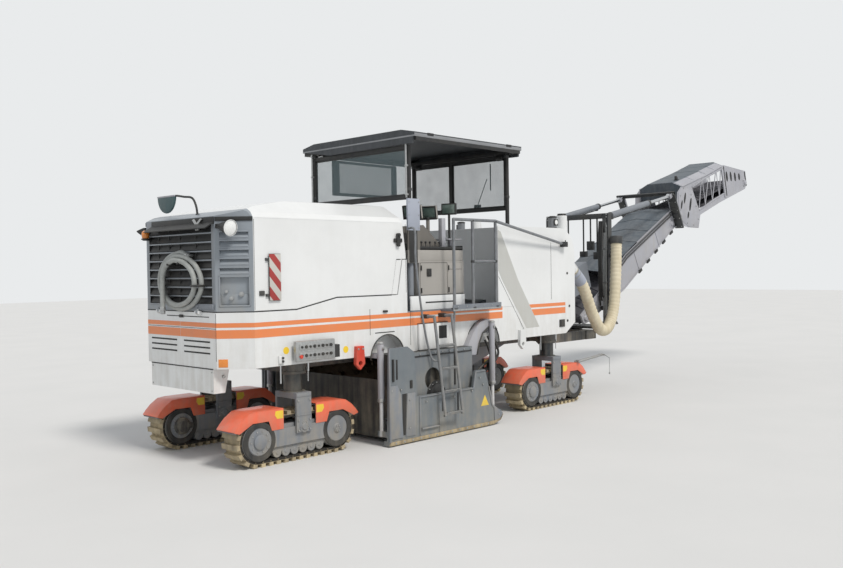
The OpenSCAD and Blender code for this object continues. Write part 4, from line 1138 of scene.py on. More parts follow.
@dataclass
class BodySkin:
    """Lower and front body with stripes, slanted band, seams, control panels and lugs."""

    thick: tuple[float, float] = (1469.0, 1564.0)
    thin: tuple[float, float] = (1590.0, 1641.0)
    stripe_end: float = 4690.0
    front_stripe: tuple[float, float] = (5330.0, 6300.0)

    def build(self) -> None:
        """Dresses the bodies and adds what is fixed to them."""
        dress(["lower_body", "front_body"], WHITE_PAINT, 6)
        dress(["lifting_lugs"], LUG_RED, 3)
        dress(["side_controls"], BLACK_PLASTIC, 5)
        dress(["engine_block"], STEEL_GREY)
        self.stripes()
        self.band()
        self.seams()
        self.controls()
        self.marks()
        self.arch_rims()
        self.shackles()

    def stripes(self) -> None:
        """Runs both stripes round the rear and along the sides."""
        film = Shape()
        for low, high in (self.thick, self.thin):
            e, w = REAR_HALF + 0.4, BODY_HALF + 0.9
            path = [(-0.9, -2.0, low), (-0.9, -e, low), (CORNER - 0.3, -w, low), (self.stripe_end, -w, low)]
            film.ribbon(path, (0, 0, high - low))
            film.ribbon([(self.front_stripe[0], -w, low), (self.front_stripe[1], -w, low)], (0, 0, high - low))
        bmesh.ops.bisect_plane(film.bm, geom=film.bm.verts[:] + film.bm.edges[:] + film.bm.faces[:],
                               plane_co=(4978, 0, 1640), plane_no=(1426, 0, 555), clear_outer=False)
        film.pair("side_stripes", STRIPE_FILM)

    def band(self) -> None:
        """Adds the light grey slanted band beside the platform, painted shade of a slanted facet."""
        film = Shape(AT_SIDE)
        film.plate([(4605, 2170), (4690, 2027), (5270, 1285), (5595, 1290), (5075, 2019), (4669, 2735),
                    (4605, 2760)], Axis.Y, -1.3, 1.2)
        # Flat light grey film as painted shade of the body's slanted facet
        film.pair("slanted_bands", FACET_SHADE_FILM)

    def seams(self) -> None:
        """Adds dark seams between the doors and panels of the sides."""
        seams = Shape(AT_SIDE)
        seams.plate([(4605, 2080), (4612, 2080), (5208, 1275), (5200, 1275)], Axis.Y, -1.6, 1.2)
        for x, low, high in ((2038, 1389, 1714), (2758, 1213, 1824), (5918, 1700, 2590)):
            seams.box((x, -1.6, low), (x + 6, -0.4, high))
        seams.box((2124, -1.6, 1404), (2468, -0.4, 1416))
        line = SEAM_LOW - 10
        path = [(-1.8, BODY_HALF, line), (-1.8, BODY_HALF - REAR_HALF - 0.6, line), (CORNER - 0.5, -1.8, line),
                (890, -1.8, line), (1505, -1.8, line + 118), (2425, -1.8, line + 118),
                (2517, -1.8, 2330), (2596, -1.8, 2330)]
        seams.ribbon(path, (0, 0, 11))
        seams.pair("side_seams", SEAM_BLACK)

    def controls(self) -> None:
        """Adds the knobs, lever and lid of the ground level control panels."""
        knobs, red, frames = Shape(AT_SIDE), Shape(AT_SIDE), Shape(AT_SIDE)
        frames.box((800, -94, 1164), (1384, -40, 1399), 10)
        for low, high in ((1196, 1266), (1296, 1366)):
            frames.box((846, -99, low), (1340, -93, high), 3)
            for i, x in enumerate(range(880, 1320, 62)):
                knobs.rod((x, -110, low + 35), (x, -98, low + 35), 15 + i % 2 * 5, 18, bevel=3)
        red.rod((866, -114, 1222), (866, -92, 1222), 22, 24, 4)
        red.pair("control_stop_buttons", LUG_RED)
        knobs.pair("control_knobs", BLACK_PLASTIC)
        frames.pair("control_panel_frames", ZINC)

    def marks(self) -> None:
        """Adds blank discs, the bracket with knobs, the socket panel and the pale front cylinder."""
        discs, pale, dark = Shape(AT_SIDE), Shape(AT_SIDE), Shape(AT_SIDE)
        discs.studs(((728, 1300), (1632, 1243)), Axis.Y, -1.6, 1, 42, 28)
        discs.pair("blank_discs", SIGNAL_YELLOW)
        pale.box((612, -22, 1159), (640, 1, 1247), 4)
        pale.box((612, -24, 1159), (690, -16, 1247), 4)
        pale.turned([(0, 0), (85, 0), (85, 240), (78, 250), (0, 250)], (6430, 140, 2780), (0, 0, 1), 32)
        pale.pair("side_brackets", WHITE_PAINT)
        dark.studs(((660, 1182), (660, 1222)), Axis.Y, -40, -22, 14, 16, 3)
        dark.box((6128, -14, 1252), (6269, 1, 1369), 5)
        dark.studs(((6357, 1344), (6358, 2103), (6410, 1576)), Axis.Y, -8, 1, 20, 18, 3)
        dark.box((2262, -20, 1662), (2340, 1, 1690), 6)
        dark.rod((6430, 140, 3026), (6430, 140, 3064), 70, 32, 6)
        dark.pair("side_sockets", BLACK_PLASTIC)

    def arch_rims(self) -> None:
        """Adds the rolled lip round the cut-outs over the side plate cylinders."""
        lips = Shape(AT_SIDE)
        for low, high, top in ((2040, 2640, 1380), (3870, 4605, 1474)):
            middle, radius = (low + high) / 2, (high - low) / 2
            arch = ring(middle, top - radius, radius, 36)[18::-1]
            path = [(middle - radius, 1132), *arch, (middle + radius, 1132)]
            lips.swept([(x, -4, z) for x, z in path], 8, 8)
        lips.pair("arch_lips", DARK_STEEL)

    def shackles(self) -> None:
        """Adds bolts to the lifting lugs."""
        bolts = Shape(AT_SIDE)
        bolts.studs(((1794, 1236), (1866, 1236)), Axis.Y, -58, -49, 13, bevel=1)
        bolts.pair("lug_bolts", ZINC)


@dataclass
class Platform:
    """Operator platform with cabinets, desks, displays, rails and ladders."""

    at_side: Matrix = field(default_factory=lambda: Matrix.Translation((0, 5 - BODY_HALF, 0)))
    desk_z: float = 2460.0
    rail_y: float = -1240.7

    def build(self) -> None:
        """Dresses the nodes of the platform and adds its detail."""
        dress(["platform"], STEEL_GREY, 3)
        dress(["consoles"], CABINET_PAINT, 6)
        dress(["railings", "ladders"], TUBE_PAINT)
        self.cabinets()
        self.desks()
        self.displays()
        self.tread()
        self.rails()
        self.steps()
        self.upright_cover()

    def cabinets(self) -> None:
        """Adds door seams, hinges and the black latch of the side cabinets."""
        seams, doors, latch, sill = (Shape(self.at_side) for _ in range(4))
        doors.box((3508, -5, 1870), (3826, 2, 2286), 5)
        doors.box((2962, 6, 2311), (3836, 530, 2460), 6)
        doors.pair("cabinet_doors_and_riser", CABINET_PAINT)
        sill.box((2760, -7, 1662), (3850, 4, 1855), 5)
        sill.pair("platform_sills", WHITE_PAINT)
        for low, high in (((2966, -1.2, 1870), (2971, 1, 2290)), ((3494, -1.2, 1870), (3499, 1, 2290)),
                          ((2966, -1.2, 2286), (3499, 1, 2291)), ((3536, -6.4, 2196), (3798, -4, 2201)),
                          ((2760, -8, 1852), (3850, 4, 1862)), ((3054, -8.4, 1750), (3663, 0, 1769))):
            seams.box(low, high)
        seams.pair("cabinet_seams", SEAM_BLACK)
        latch.box((3088, -12, 2105), (3178, 1, 2210), 8)
        latch.box((3104, -20, 2124), (3162, -10, 2170), 5)
        for z in (1920, 2220):
            for x, y in ((2981, -9), (3519, -12)):
                latch.rod((x, y, z - 34), (x, y, z + 34), 9, 14, 2)
        latch.pair("cabinet_latches", BLACK_PLASTIC)

    def desks(self) -> None:
        """Adds the dark trays with levers, the pale shelf and the armrest column."""
        desk = self.at_side @ Matrix.Translation((0, 0, self.desk_z))
        trays, levers, shelf = Shape(desk), Shape(desk), Shape(desk)
        trays.box((2962, 6, 0), (3836, 530, 22), 6)
        for low, high in (((2962, 6, 0), (2976, 530, 92)),
                          ((3822, 6, 0), (3836, 530, 60)),
                          ((2962, 6, 0), (3836, 18, 46))):
            trays.box(low, high, 4)
        trays.pair("desk_trays", BLACK_PLASTIC)
        for i, x in enumerate((3050, 3140, 3230, 3320, 3410)):
            lean = 16 - 8 * (i % 3)
            levers.rod((x, 60, 20), (x + lean, 66, 96), 6, 10)
            levers.ball((x + lean, 66, 104), 15, (1, 1, 1.2))
            levers.turned([(0, 12), (22, 10), (27, 0)], (x, 60, 20), (0, 0, 1), 18)
        levers.rod((3640, 70, 20), (3640, 70, 60), 22, 20, 6)
        levers.pair("desk_levers", BLACK_PLASTIC)
        shelf.box((3560, 20, 140), (3830, 330, 162), 5)
        shelf.box((3470, 60, 10), (3548, 128, 440), 8)
        shelf.box((3700, 120, 10), (3740, 170, 142), 5)
        shelf.pair("desk_shelves", SHEET_GREY)

    def displays(self) -> None:
        """Adds the bezels, glass and keys of the displays over the desks."""
        bezels, glass, keys = Shape(), Shape(), Shape()
        for x in (3120, 3420):
            turn = Matrix.Translation((x, -760, 2980)) @ Matrix.Rotation(radians(20), 4, "Z")
            bezels.turn = glass.turn = keys.turn = turn @ Matrix.Rotation(radians(-12), 4, "Y")
            for face in (-1, 1):
                for y0, z0, y1, z1 in ((-137, 74, 137, 94), (-137, -94, 137, -62), (-137, -94, -118, 94),
                                       (118, -94, 137, 94)):
                    bezels.box((face * 21, y0, z0), (face * 29, y1, z1), 3)
                glass.box((face * 20, -117, -61), (face * 24, 117, 73), 1)
                keys.studs([(-96 + k * 32, -78) for k in range(7)], Axis.X, face * 28, face * 33, 9, 12, 1.5)
            bezels.turn = Matrix()
            bezels.rod((x, -760, 2885), (x, -760, 2915), 34, 20, 4)
            bezels.rod((x, -760, self.desk_z), (x, -760, self.desk_z + 40), 40, 20, 4)
        bezels.rod((3760, -850, self.desk_z), (3760, -850, 2966), 17, 18)
        bezels.turn = glass.turn = Matrix.Translation((3760, -850, 3040)) @ Matrix.Rotation(radians(20), 4, "Z")
        bezels.box((-24, -110, -80), (24, 110, 80), 8)
        glass.box((-27, -92, -62), (-23, 92, 62), 1)
        bezels.pair("display_bezels", BLACK_PLASTIC)
        glass.pair("display_glass_panes", SCREEN_GLASS)
        keys.pair("display_keys", BLACK_PLASTIC)

    def tread(self) -> None:
        """Adds raised bars to the floor and the step boards and a kick rail."""
        bars = Shape()
        step_bars = [(3390 + 60 * i, y + 62 * j, 20, 1.2, i + j) for y in (-1236, 1112) for i in range(17)
                     for j in range(3)]
        floor_bars = [(3880 + 62 * i, -920 + 80 * j, 22, 0, i + j) for i in range(11) for j in range(24)]
        for x, y, half, bevel, count in step_bars + floor_bars:
            slant = Matrix.Rotation(radians(45 if count % 2 else -45), 4, "Z")
            bars.turn = Matrix.Translation((x, y, FLOOR_Z)) @ slant
            bars.box((-half, -3, -1), (half, 3, 2.5), bevel)
        bars.piece("floor_tread", STEEL_GREY)
        edges = Shape()
        edges.box((3352, -1274, 1634), (4378, -1269, 1656), 2)
        edges.studs([(x, 1690) for x in range(3450, 4360, 180)], Axis.Y, -1276, -1269, 9, bevel=1)
        edges.pair("step_board_trim", ZINC)

    def rails(self) -> None:
        """Adds flanges, clamps and the lamps' lenses to the railings."""
        joints, clamps, lamps, lens = Shape(), Shape(), Shape(), Shape()
        y = self.rail_y
        posts = ((3410, y), (3800, y), (4300, y))
        joints.studs(posts, Axis.Z, FLOOR_Z, FLOOR_Z + 12, 44, 20, 2)
        joints.studs(posts, Axis.Z, FLOOR_Z + 10, FLOOR_Z + 46, 27, 20, 2)
        for x, _ in posts:
            joints.studs(ring(x, y, 35, 4, 45), Axis.Z, FLOOR_Z + 10, FLOOR_Z + 19, 6)
        for low, high in ((2282, 2318), (2850, 2872)):
            joints.studs(posts[1:], Axis.Z, low, high, 26, 20, 3)
        joints.pair("rail_joints", DARK_STEEL)
        clamps.box((6168, -1126, 2520), (6272, -1036, 2602), 8)
        clamps.rod((6220, -1112, 2604), (6220, -1112, 2626), 10, 6, 1)
        clamps.rod((6120, -1104, 2566), (6170, -1102, 2562), 29, 20, 3)
        clamps.pair("rail_clamps", BLACK_PLASTIC)
        for radius, low, high in ((69, 2812, 2832), (69, 2982, 3004), (46, 3002, 3012)):
            lamps.rod((6090, -960, low), (6090, -960, high), radius, 28, bevel=4)
        lamps.box((6040, -1034, 2860), (6140, -1020, 2960), 8)
        lamps.pair("work_lamp_rims", BLACK_PLASTIC)
        lens.rod((6090, -1036, 2910), (6090, -1030, 2910), 38, 24, 3)
        lens.pair("work_lamp_lenses", WHITE_LENS)

    def steps(self) -> None:
        """Adds grab rails, grip sleeves and feet to the ladders."""
        grips, caps, rails = Shape(), Shape(), Shape()
        for route in (((2740, -1052, 2740), (2726, -1180, 2700), (2717, -1200, 2279), (2821, -1210, 1552),
                       (2921, -1250, 1067), (2985, -1335, 1000)),
                      ((3410, -1240, 1660), (3400, -1240, 1500), (3345, -1285, 1320))):
            rails.swept(smooth_route(route, 8), 14, 14)
        rails.pair("grab_rails", TUBE_PAINT)
        for z in (314, 600, 895, 1190):
            y = -1265 - 175 * (1580 - z) / (FLOOR_Z - 370)
            grips.box((3004, y - 22, z + 10), (3296, y + 22, z + 19), 3)
            for k in range(9):
                x = 3016 + k * 32
                grips.box((x, y - 21, z + 18), (x + 10, y + 21, z + 23), 1.5)
        grips.pair("ladder_grips", ZINC)
        for x in (2980, 3320):
            caps.rod((x, -1436, 286), (x, -1433, 306), 22, 18, 4)
            caps.box((x - 26, -1150, 1552), (x + 26, -1042, 1608), 5)
        caps.pair("ladder_caps", BLACK_PLASTIC)

    def upright_cover(self) -> None:
        """Adds the pale upright cover beside the platform with its dark foot and bolts."""
        cover, foot, bolts = Shape(AT_SIDE), Shape(AT_SIDE), Shape(AT_SIDE)
        cover.plate([(2742, 2715), (2968, 2715), (2968, 3122), (2950, 3134), (2742, 3134)], Axis.Y, -4, 30, 4)
        cover.pair("upright_covers", PALE_COVER)
        foot.box((2757, -3, 2292), (2917, 26, 2716), 4)
        foot.pair("upright_cover_feet", BLACK_PLASTIC)
        bolts.studs([(x, z) for x in (2764, 2946) for z in (2750, 2920, 3090)], Axis.Y, -10, -3, 9, bevel=1)
        bolts.pair("upright_cover_bolts", ZINC)


@dataclass
class Canopy:
    """Roof on four posts with its screens, edge trim and lamps."""

    x0: float = 2780.0
    length: float = 2270.0
    half: float = 1150.0
    top: float = 4045.0
    skirt: float = 3940.0
    post_x: tuple[float, float] = (2850.0, 4930.0)
    post_y: float = 966.0

    def build(self) -> None:
        """Dresses the canopy and adds its detail."""
        dress(["canopy_roof"], ROOF_PANEL, 8)
        self.side_screen()
        dress(["canopy_frame"], BLACK_PLASTIC)
        dress(["canopy_screens"], CANOPY_GLASS)
        self.roof()
        self.gaskets()
        self.fixings()

    def roof(self) -> None:
        """Adds the pressed ribs and the paler edge trim of the roof."""
        x1 = self.x0 + self.length
        ribs, trim, handles = Shape(), Shape(), Shape()
        for y in (-660, -330, 0, 330, 660):
            ribs.box((self.x0 + 90, y - 28, self.top - 6), (x1 - 90, y + 28, self.top + 0.5), 3)
        ribs.piece("roof_ribs", ROOF_PANEL, "canopy")
        for side in Side:
            near, far = side.value * (self.half - 5.5), side.value * (self.half + 0.5)
            trim.box((self.x0 - 2, near, self.skirt - 4), (x1 + 2, far, self.skirt + 40), 2)
        for x in (self.x0 - 3, x1 - 3):
            trim.box((x, -self.half, self.skirt - 4), (x + 6, self.half, self.skirt + 16), 2)
        trim.piece("roof_edge_trim", ROOF_EDGE, "canopy")
        for x in (self.x0 + 300, x1 - 300):
            handles.box((x - 60, -self.half - 8, self.skirt + 26), (x + 60, -self.half + 1, self.skirt + 60), 4)
        handles.pair("roof_edge_clips", BLACK_PLASTIC, "canopy")

    def side_screen(self) -> None:
        """Hangs a framed screen under the left edge of the roof."""
        bars, pane = Shape(), Shape()
        for low, high in (((3219, 3330), (3350, 3860)), ((4461, 3330), (4563, 3860)),
                          ((3350, 3330), (4461, 3376)), ((3350, 3820), (4461, 3860))):
            bars.box((low[0], 990, low[1]), (high[0], 1020, high[1]), 5)
        for x in (3285, 4512):
            bars.box((x - 16, 1000, 3855), (x + 16, 1010, self.skirt + 20), 2)
        bars.piece("side_screen_frame", BLACK_PLASTIC, "canopy")
        pane.box((3345, 1003, 3370), (4466, 1007, 3825))
        pane.piece("side_screen_pane", CANOPY_GLASS, "canopy")

    def gaskets(self) -> None:
        """Adds rubber frames round the panes and a wiper on the rear one."""
        frames = Shape()
        panes = ((0, -935, 935, 3180, 3800), (1, -935, 110, 3110, 3830), (1, 160, 935, 3110, 3830))
        for post, left, right, low, high in panes:
            x = self.post_x[post]
            frames.surround((x - 12, x + 12), (left, low), (right, high), 22, 3)
        frames.piece("screen_gaskets", BLACK_PLASTIC, "canopy")
        wiper = Shape()
        x = self.post_x[1] + 16
        wiper.box((x, -420, 3120), (x + 40, -300, 3180), 8)
        wiper.rod((x + 20, -360, 3160), (x + 12, -560, 3560), 6, 10)
        wiper.box((x + 2, -640, 3380), (x + 14, -624, 3780), 3)
        wiper.piece("screen_wiper", BLACK_PLASTIC, "canopy")

    def fixings(self) -> None:
        """Adds post collars, corner lamps and the pale tube beside the rear post."""
        collars, tube, lamps, lens = Shape(), Shape(), Shape(), Shape()
        for x in self.post_x:
            for z in (3240, 3840):
                collars.studs([(x, -self.post_y)], Axis.Z, z, z + 40, 37, 24, 4)
        collars.pair("post_collars", DARK_STEEL, "canopy")
        x = self.post_x[0] - 52
        tube.rod((x, -self.post_y, 3150), (x, -self.post_y, 3900), 13, 14)
        for z in (3180, 3560, 3860):
            tube.box((x - 16, -self.post_y - 16, z), (x + 30, -self.post_y + 16, z + 24), 4)
        tube.pair("post_cable_tubes", ZINC, "canopy")
        for x, way in ((self.x0 + 120, -1), (self.x0 + self.length - 120, 1)):
            tilt = Matrix.Rotation(radians(way * 24), 4, "Y")
            lamps.turn = lens.turn = Matrix.Translation((x, -840, 3858)) @ tilt
            lamps.box((-36, -62, -46), (36, 62, 40), 9)
            lamps.box((-8, -8, 38), (8, 8, 74), 2)
            lens.box((way * 35, -52, -38), (way * 40, 52, 32), 3)
        lamps.pair("canopy_lamps", BLACK_PLASTIC, "canopy")
        lens.pair("canopy_lamp_lenses", WHITE_LENS, "canopy")


@dataclass
class TrackUnit:
    """One track unit with its guards, wheels, rollers, yoke and column foot."""

    name: str
    centre_x: float
    side: Side
    wheel_x: float = 570.0
    wheel_z: float = 295.0
    belt_r: float = 239.0
    half_w: float = 170.0
    shoes: int = 36

    @property
    def body(self) -> str:
        """Name of the body that the unit moves with."""
        return f"track_{self.name}"

    @property
    def place(self) -> Matrix:
        """Frame on the ground under the middle of the track."""
        return Matrix.Translation((self.centre_x, self.side.value * 817, 0))

    def build(self) -> None:
        """Dresses the unit's nodes and adds its detail."""
        dress([f"track_frame_{self.name}"], STEEL_GREY, 4)
        dress([f"track_loop_{self.name}"], SHOE_BELT)
        dress([f"leg_{self.name}"], COLUMN_STEEL)
        self.guards()
        self.wheels()
        self.chain()
        self.yoke()

    def guards(self) -> None:
        """Adds orange guards over the fenders, with yellow patches on their sides."""
        guard, patches = Shape(self.place), Shape(self.place)
        for way in (-1, 1):
            edge = [(238, 633), (600, 633), (700, 622), (800, 556), (868, 488), (906, 440)]
            top = edge + [(x + 5, z + 7) for x, z in reversed(edge)]
            guard.plate([(way * x, z) for x, z in top], Axis.Y, -self.half_w - 6, 2 * self.half_w + 12, 2)
            skirt = edge + [(842, 418), (664, 512), (446, 512), (404, 400), (238, 400)]
            for face in (-1, 1):
                y = self.half_w + 1 if face > 0 else -self.half_w - 6
                guard.plate([(way * x, z) for x, z in skirt], Axis.Y, y, 5, 1.2)
                mark = [(246, 616), (352, 616), (362, 570), (330, 526), (246, 524)]
                y = self.half_w + 5 if face > 0 else -self.half_w - 7.5
                patches.plate([(way * x, z) for x, z in mark], Axis.Y, y, 2.5, 0)
        guard.piece(f"guards_{self.name}", GUARD_ORANGE, self.body)
        patches.piece(f"guard_patches_{self.name}", SIGNAL_YELLOW, self.body)

    def wheels(self) -> None:
        """Adds the hubs of the end wheels with dark rings of painted shade round them, the caps of the rollers
        and the drive motor.
        """
        hubs, rims, bolts, motor = (Shape(self.place) for _ in range(4))
        for way in (-1, 1):
            for face in (-1, 1):
                spot, out = (way * self.wheel_x, face * 163, self.wheel_z), (0, face, 0)
                if way < 0:
                    profile = [(0, 34), (70, 34), (84, 26), (88, 8), (150, 6), (154, 0)]
                else:
                    profile = [(0, 20), (46, 20), (54, 12), (60, 4), (150, 4), (156, 0)]
                hubs.turned(profile, spot, out, 32)
                # Dark ring round each hub: painted shade of the gap between wheel and belt
                rims.turned([(156, 0), (160, 10), (214, 12), (224, 0)], spot, out, 36)
                count, reach, low = (10, 120, 167) if way < 0 else (6, 34, 181)
                bolts.studs(ring(spot[0], spot[2], reach, count), Axis.Y, face * low, face * (low + 10), 9)
        for k in range(6):
            for face in (-1, 1):
                spot = (-310 + 125 * k, face * 136, 133)
                hubs.turned([(0, 12), (18, 12), (24, 6), (56, 6), (59, 0)], spot, (0, face, 0), 20)
        inboard = -self.side.value
        motor.turned([(0, 74), (62, 74), (74, 66), (78, 40), (104, 34), (108, 0)],
                     (-self.wheel_x, inboard * 168, self.wheel_z), (0, inboard, 0), 28)
        motor.box((-self.wheel_x + 40, inboard * 170, 262), (-self.wheel_x + 130, inboard * 232, 328), 6)
        motor.piece(f"drive_motor_{self.name}", DARK_STEEL, self.body)
        hubs.piece(f"wheel_hubs_{self.name}", STEEL_GREY, self.body)
        rims.piece(f"wheel_rims_{self.name}", WHEEL_GAP_SHADE, self.body)
        bolts.piece(f"wheel_bolts_{self.name}", ZINC, self.body)

    def belt_points(self) -> list[tuple[float, float]]:
        """Lists the middles of the shoes round the loop.

        Returns:
            Pairs of X and Z in the unit's frame.
        """
        half_loop = 2 * self.wheel_x + pi * self.belt_r
        points = []
        for k in range(self.shoes):
            upper, run = divmod((k + 0.5) * 2 * half_loop / self.shoes, half_loop)
            bend = max(run - 2 * self.wheel_x, 0) / self.belt_r
            x = min(run - self.wheel_x, self.wheel_x) + self.belt_r * sin(bend)
            z = -self.belt_r * cos(bend)
            points.append((-x, self.wheel_z - z) if upper else (x, self.wheel_z + z))
        return points

    def chain(self) -> None:
        """Adds the pin ends of the chain along both edges of the belt."""
        pins = Shape(self.place)
        for face in SIDES:
            pins.studs(self.belt_points(), Axis.Y, face * 148, face * 155, 11, 10)
        pins.piece(f"chain_pins_{self.name}", LINK_STEEL, self.body)

    def yoke(self) -> None:
        """Adds bolts, the pivot cap and edge plates to the yoke, and the foot ring of the column."""
        cap, bolts, foot = Shape(self.place), Shape(self.place), Shape(self.place)
        for face in (-1, 1):
            out = (0, face, 0)
            cap.turned([(0, 22), (34, 22), (42, 14), (46, 8), (66, 8), (70, 0)], (40, face * 201, 392), out, 28)
            cap.box((-62, face * 200, 520), (142, face * 208, 540), 3)
            cap.box((-66, face * 200, 740), (146, face * 208, 782), 3)
            spots = [(x, z) for x in (-44, 124) for z in (356, 470, 700)]
            bolts.studs(spots, Axis.Y, face * 200, face * 213, 12, bevel=1)
            bolts.studs(ring(40, 392, 54, 6), Axis.Y, face * 206, face * 215, 6)
        cap.piece(f"yoke_caps_{self.name}", STEEL_GREY, self.body)
        bolts.piece(f"yoke_bolts_{self.name}", ZINC, self.body)
        foot.rod((40, 0, 791), (40, 0, 798), 140, 36)
        foot.piece(f"column_foot_{self.name}", DARK_STEEL, f"leg_{self.name}")


@dataclass
class Undercarriage:
    """Four lifting track units, the column seals and the pointer arm at the front right."""

    rows: tuple[tuple[str, float], ...] = (("rear", 950.0), ("front", 6040.0))

    def build(self) -> None:
        """Builds the four units and what belongs to them."""
        dress(["chassis_frame", "front_frame"], DARK_STEEL)
        for row, x in self.rows:
            for side in Side:
                TrackUnit(f"{row}_{side.name.lower()}", x, side).build()
        self.seals()
        self.pointer()

    def seals(self) -> None:
        """Adds seal rings under the guides and the height sensor rods beside them."""
        rings, rods = Shape(), Shape()
        for _, x in self.rows:
            rings.turned([(118, 2), (152, 2), (156, 8), (156, 30), (149, 34)], (x + 40, -817, 1000), (0, 0, 1),
                         36)
            rings.studs(ring(x + 40, -817, 152, 8, 22), Axis.Z, 1036, 1050, 8)
            rods.rod((x + 236, -860, 890), (x + 236, -860, 1150), 7, 12)
            rods.rod((x + 236, -860, 1010), (x + 236, -860, 1150), 17, 16, 3)
            rods.rod((x - 168, -860, 900), (x - 168, -860, 1150), 9, 12)
        rings.pair("column_seals", DARK_STEEL)
        rods.pair("height_sensor_rods", CHROME_ROD)

    def pointer(self) -> None:
        """Adds the bright pointer arm at the front right track."""
        end = Vector((720, 0, 54))
        arm = Shape(Matrix.Translation((6700, -1000, 652)))
        arm.rod((0, 0, 0), end, 21, 18, 3)
        arm.rod((0, -34, 0), (0, 36, 0), 26, 20, 3)
        arm.box((-50, 14, -16), (40, 40, 16), 4)
        arm.turn = arm.turn @ Matrix.Translation(end)
        arm.rod((0, -60, 0), (0, 60, 0), 13, 16, 2)
        arm.rod((0, -54, 0), (150, -54, -62), 8, 12)
        arm.rod((150, -54, -62), (150, -54, -300), 4, 10)
        arm.turned([(0, 0), (12, 8), (14, 30), (6, 44), (0, 46)], (150, -54, -345), (0, 0, 1), 16)
        arm.piece("pointer_arm", ZINC, "track_front_right")


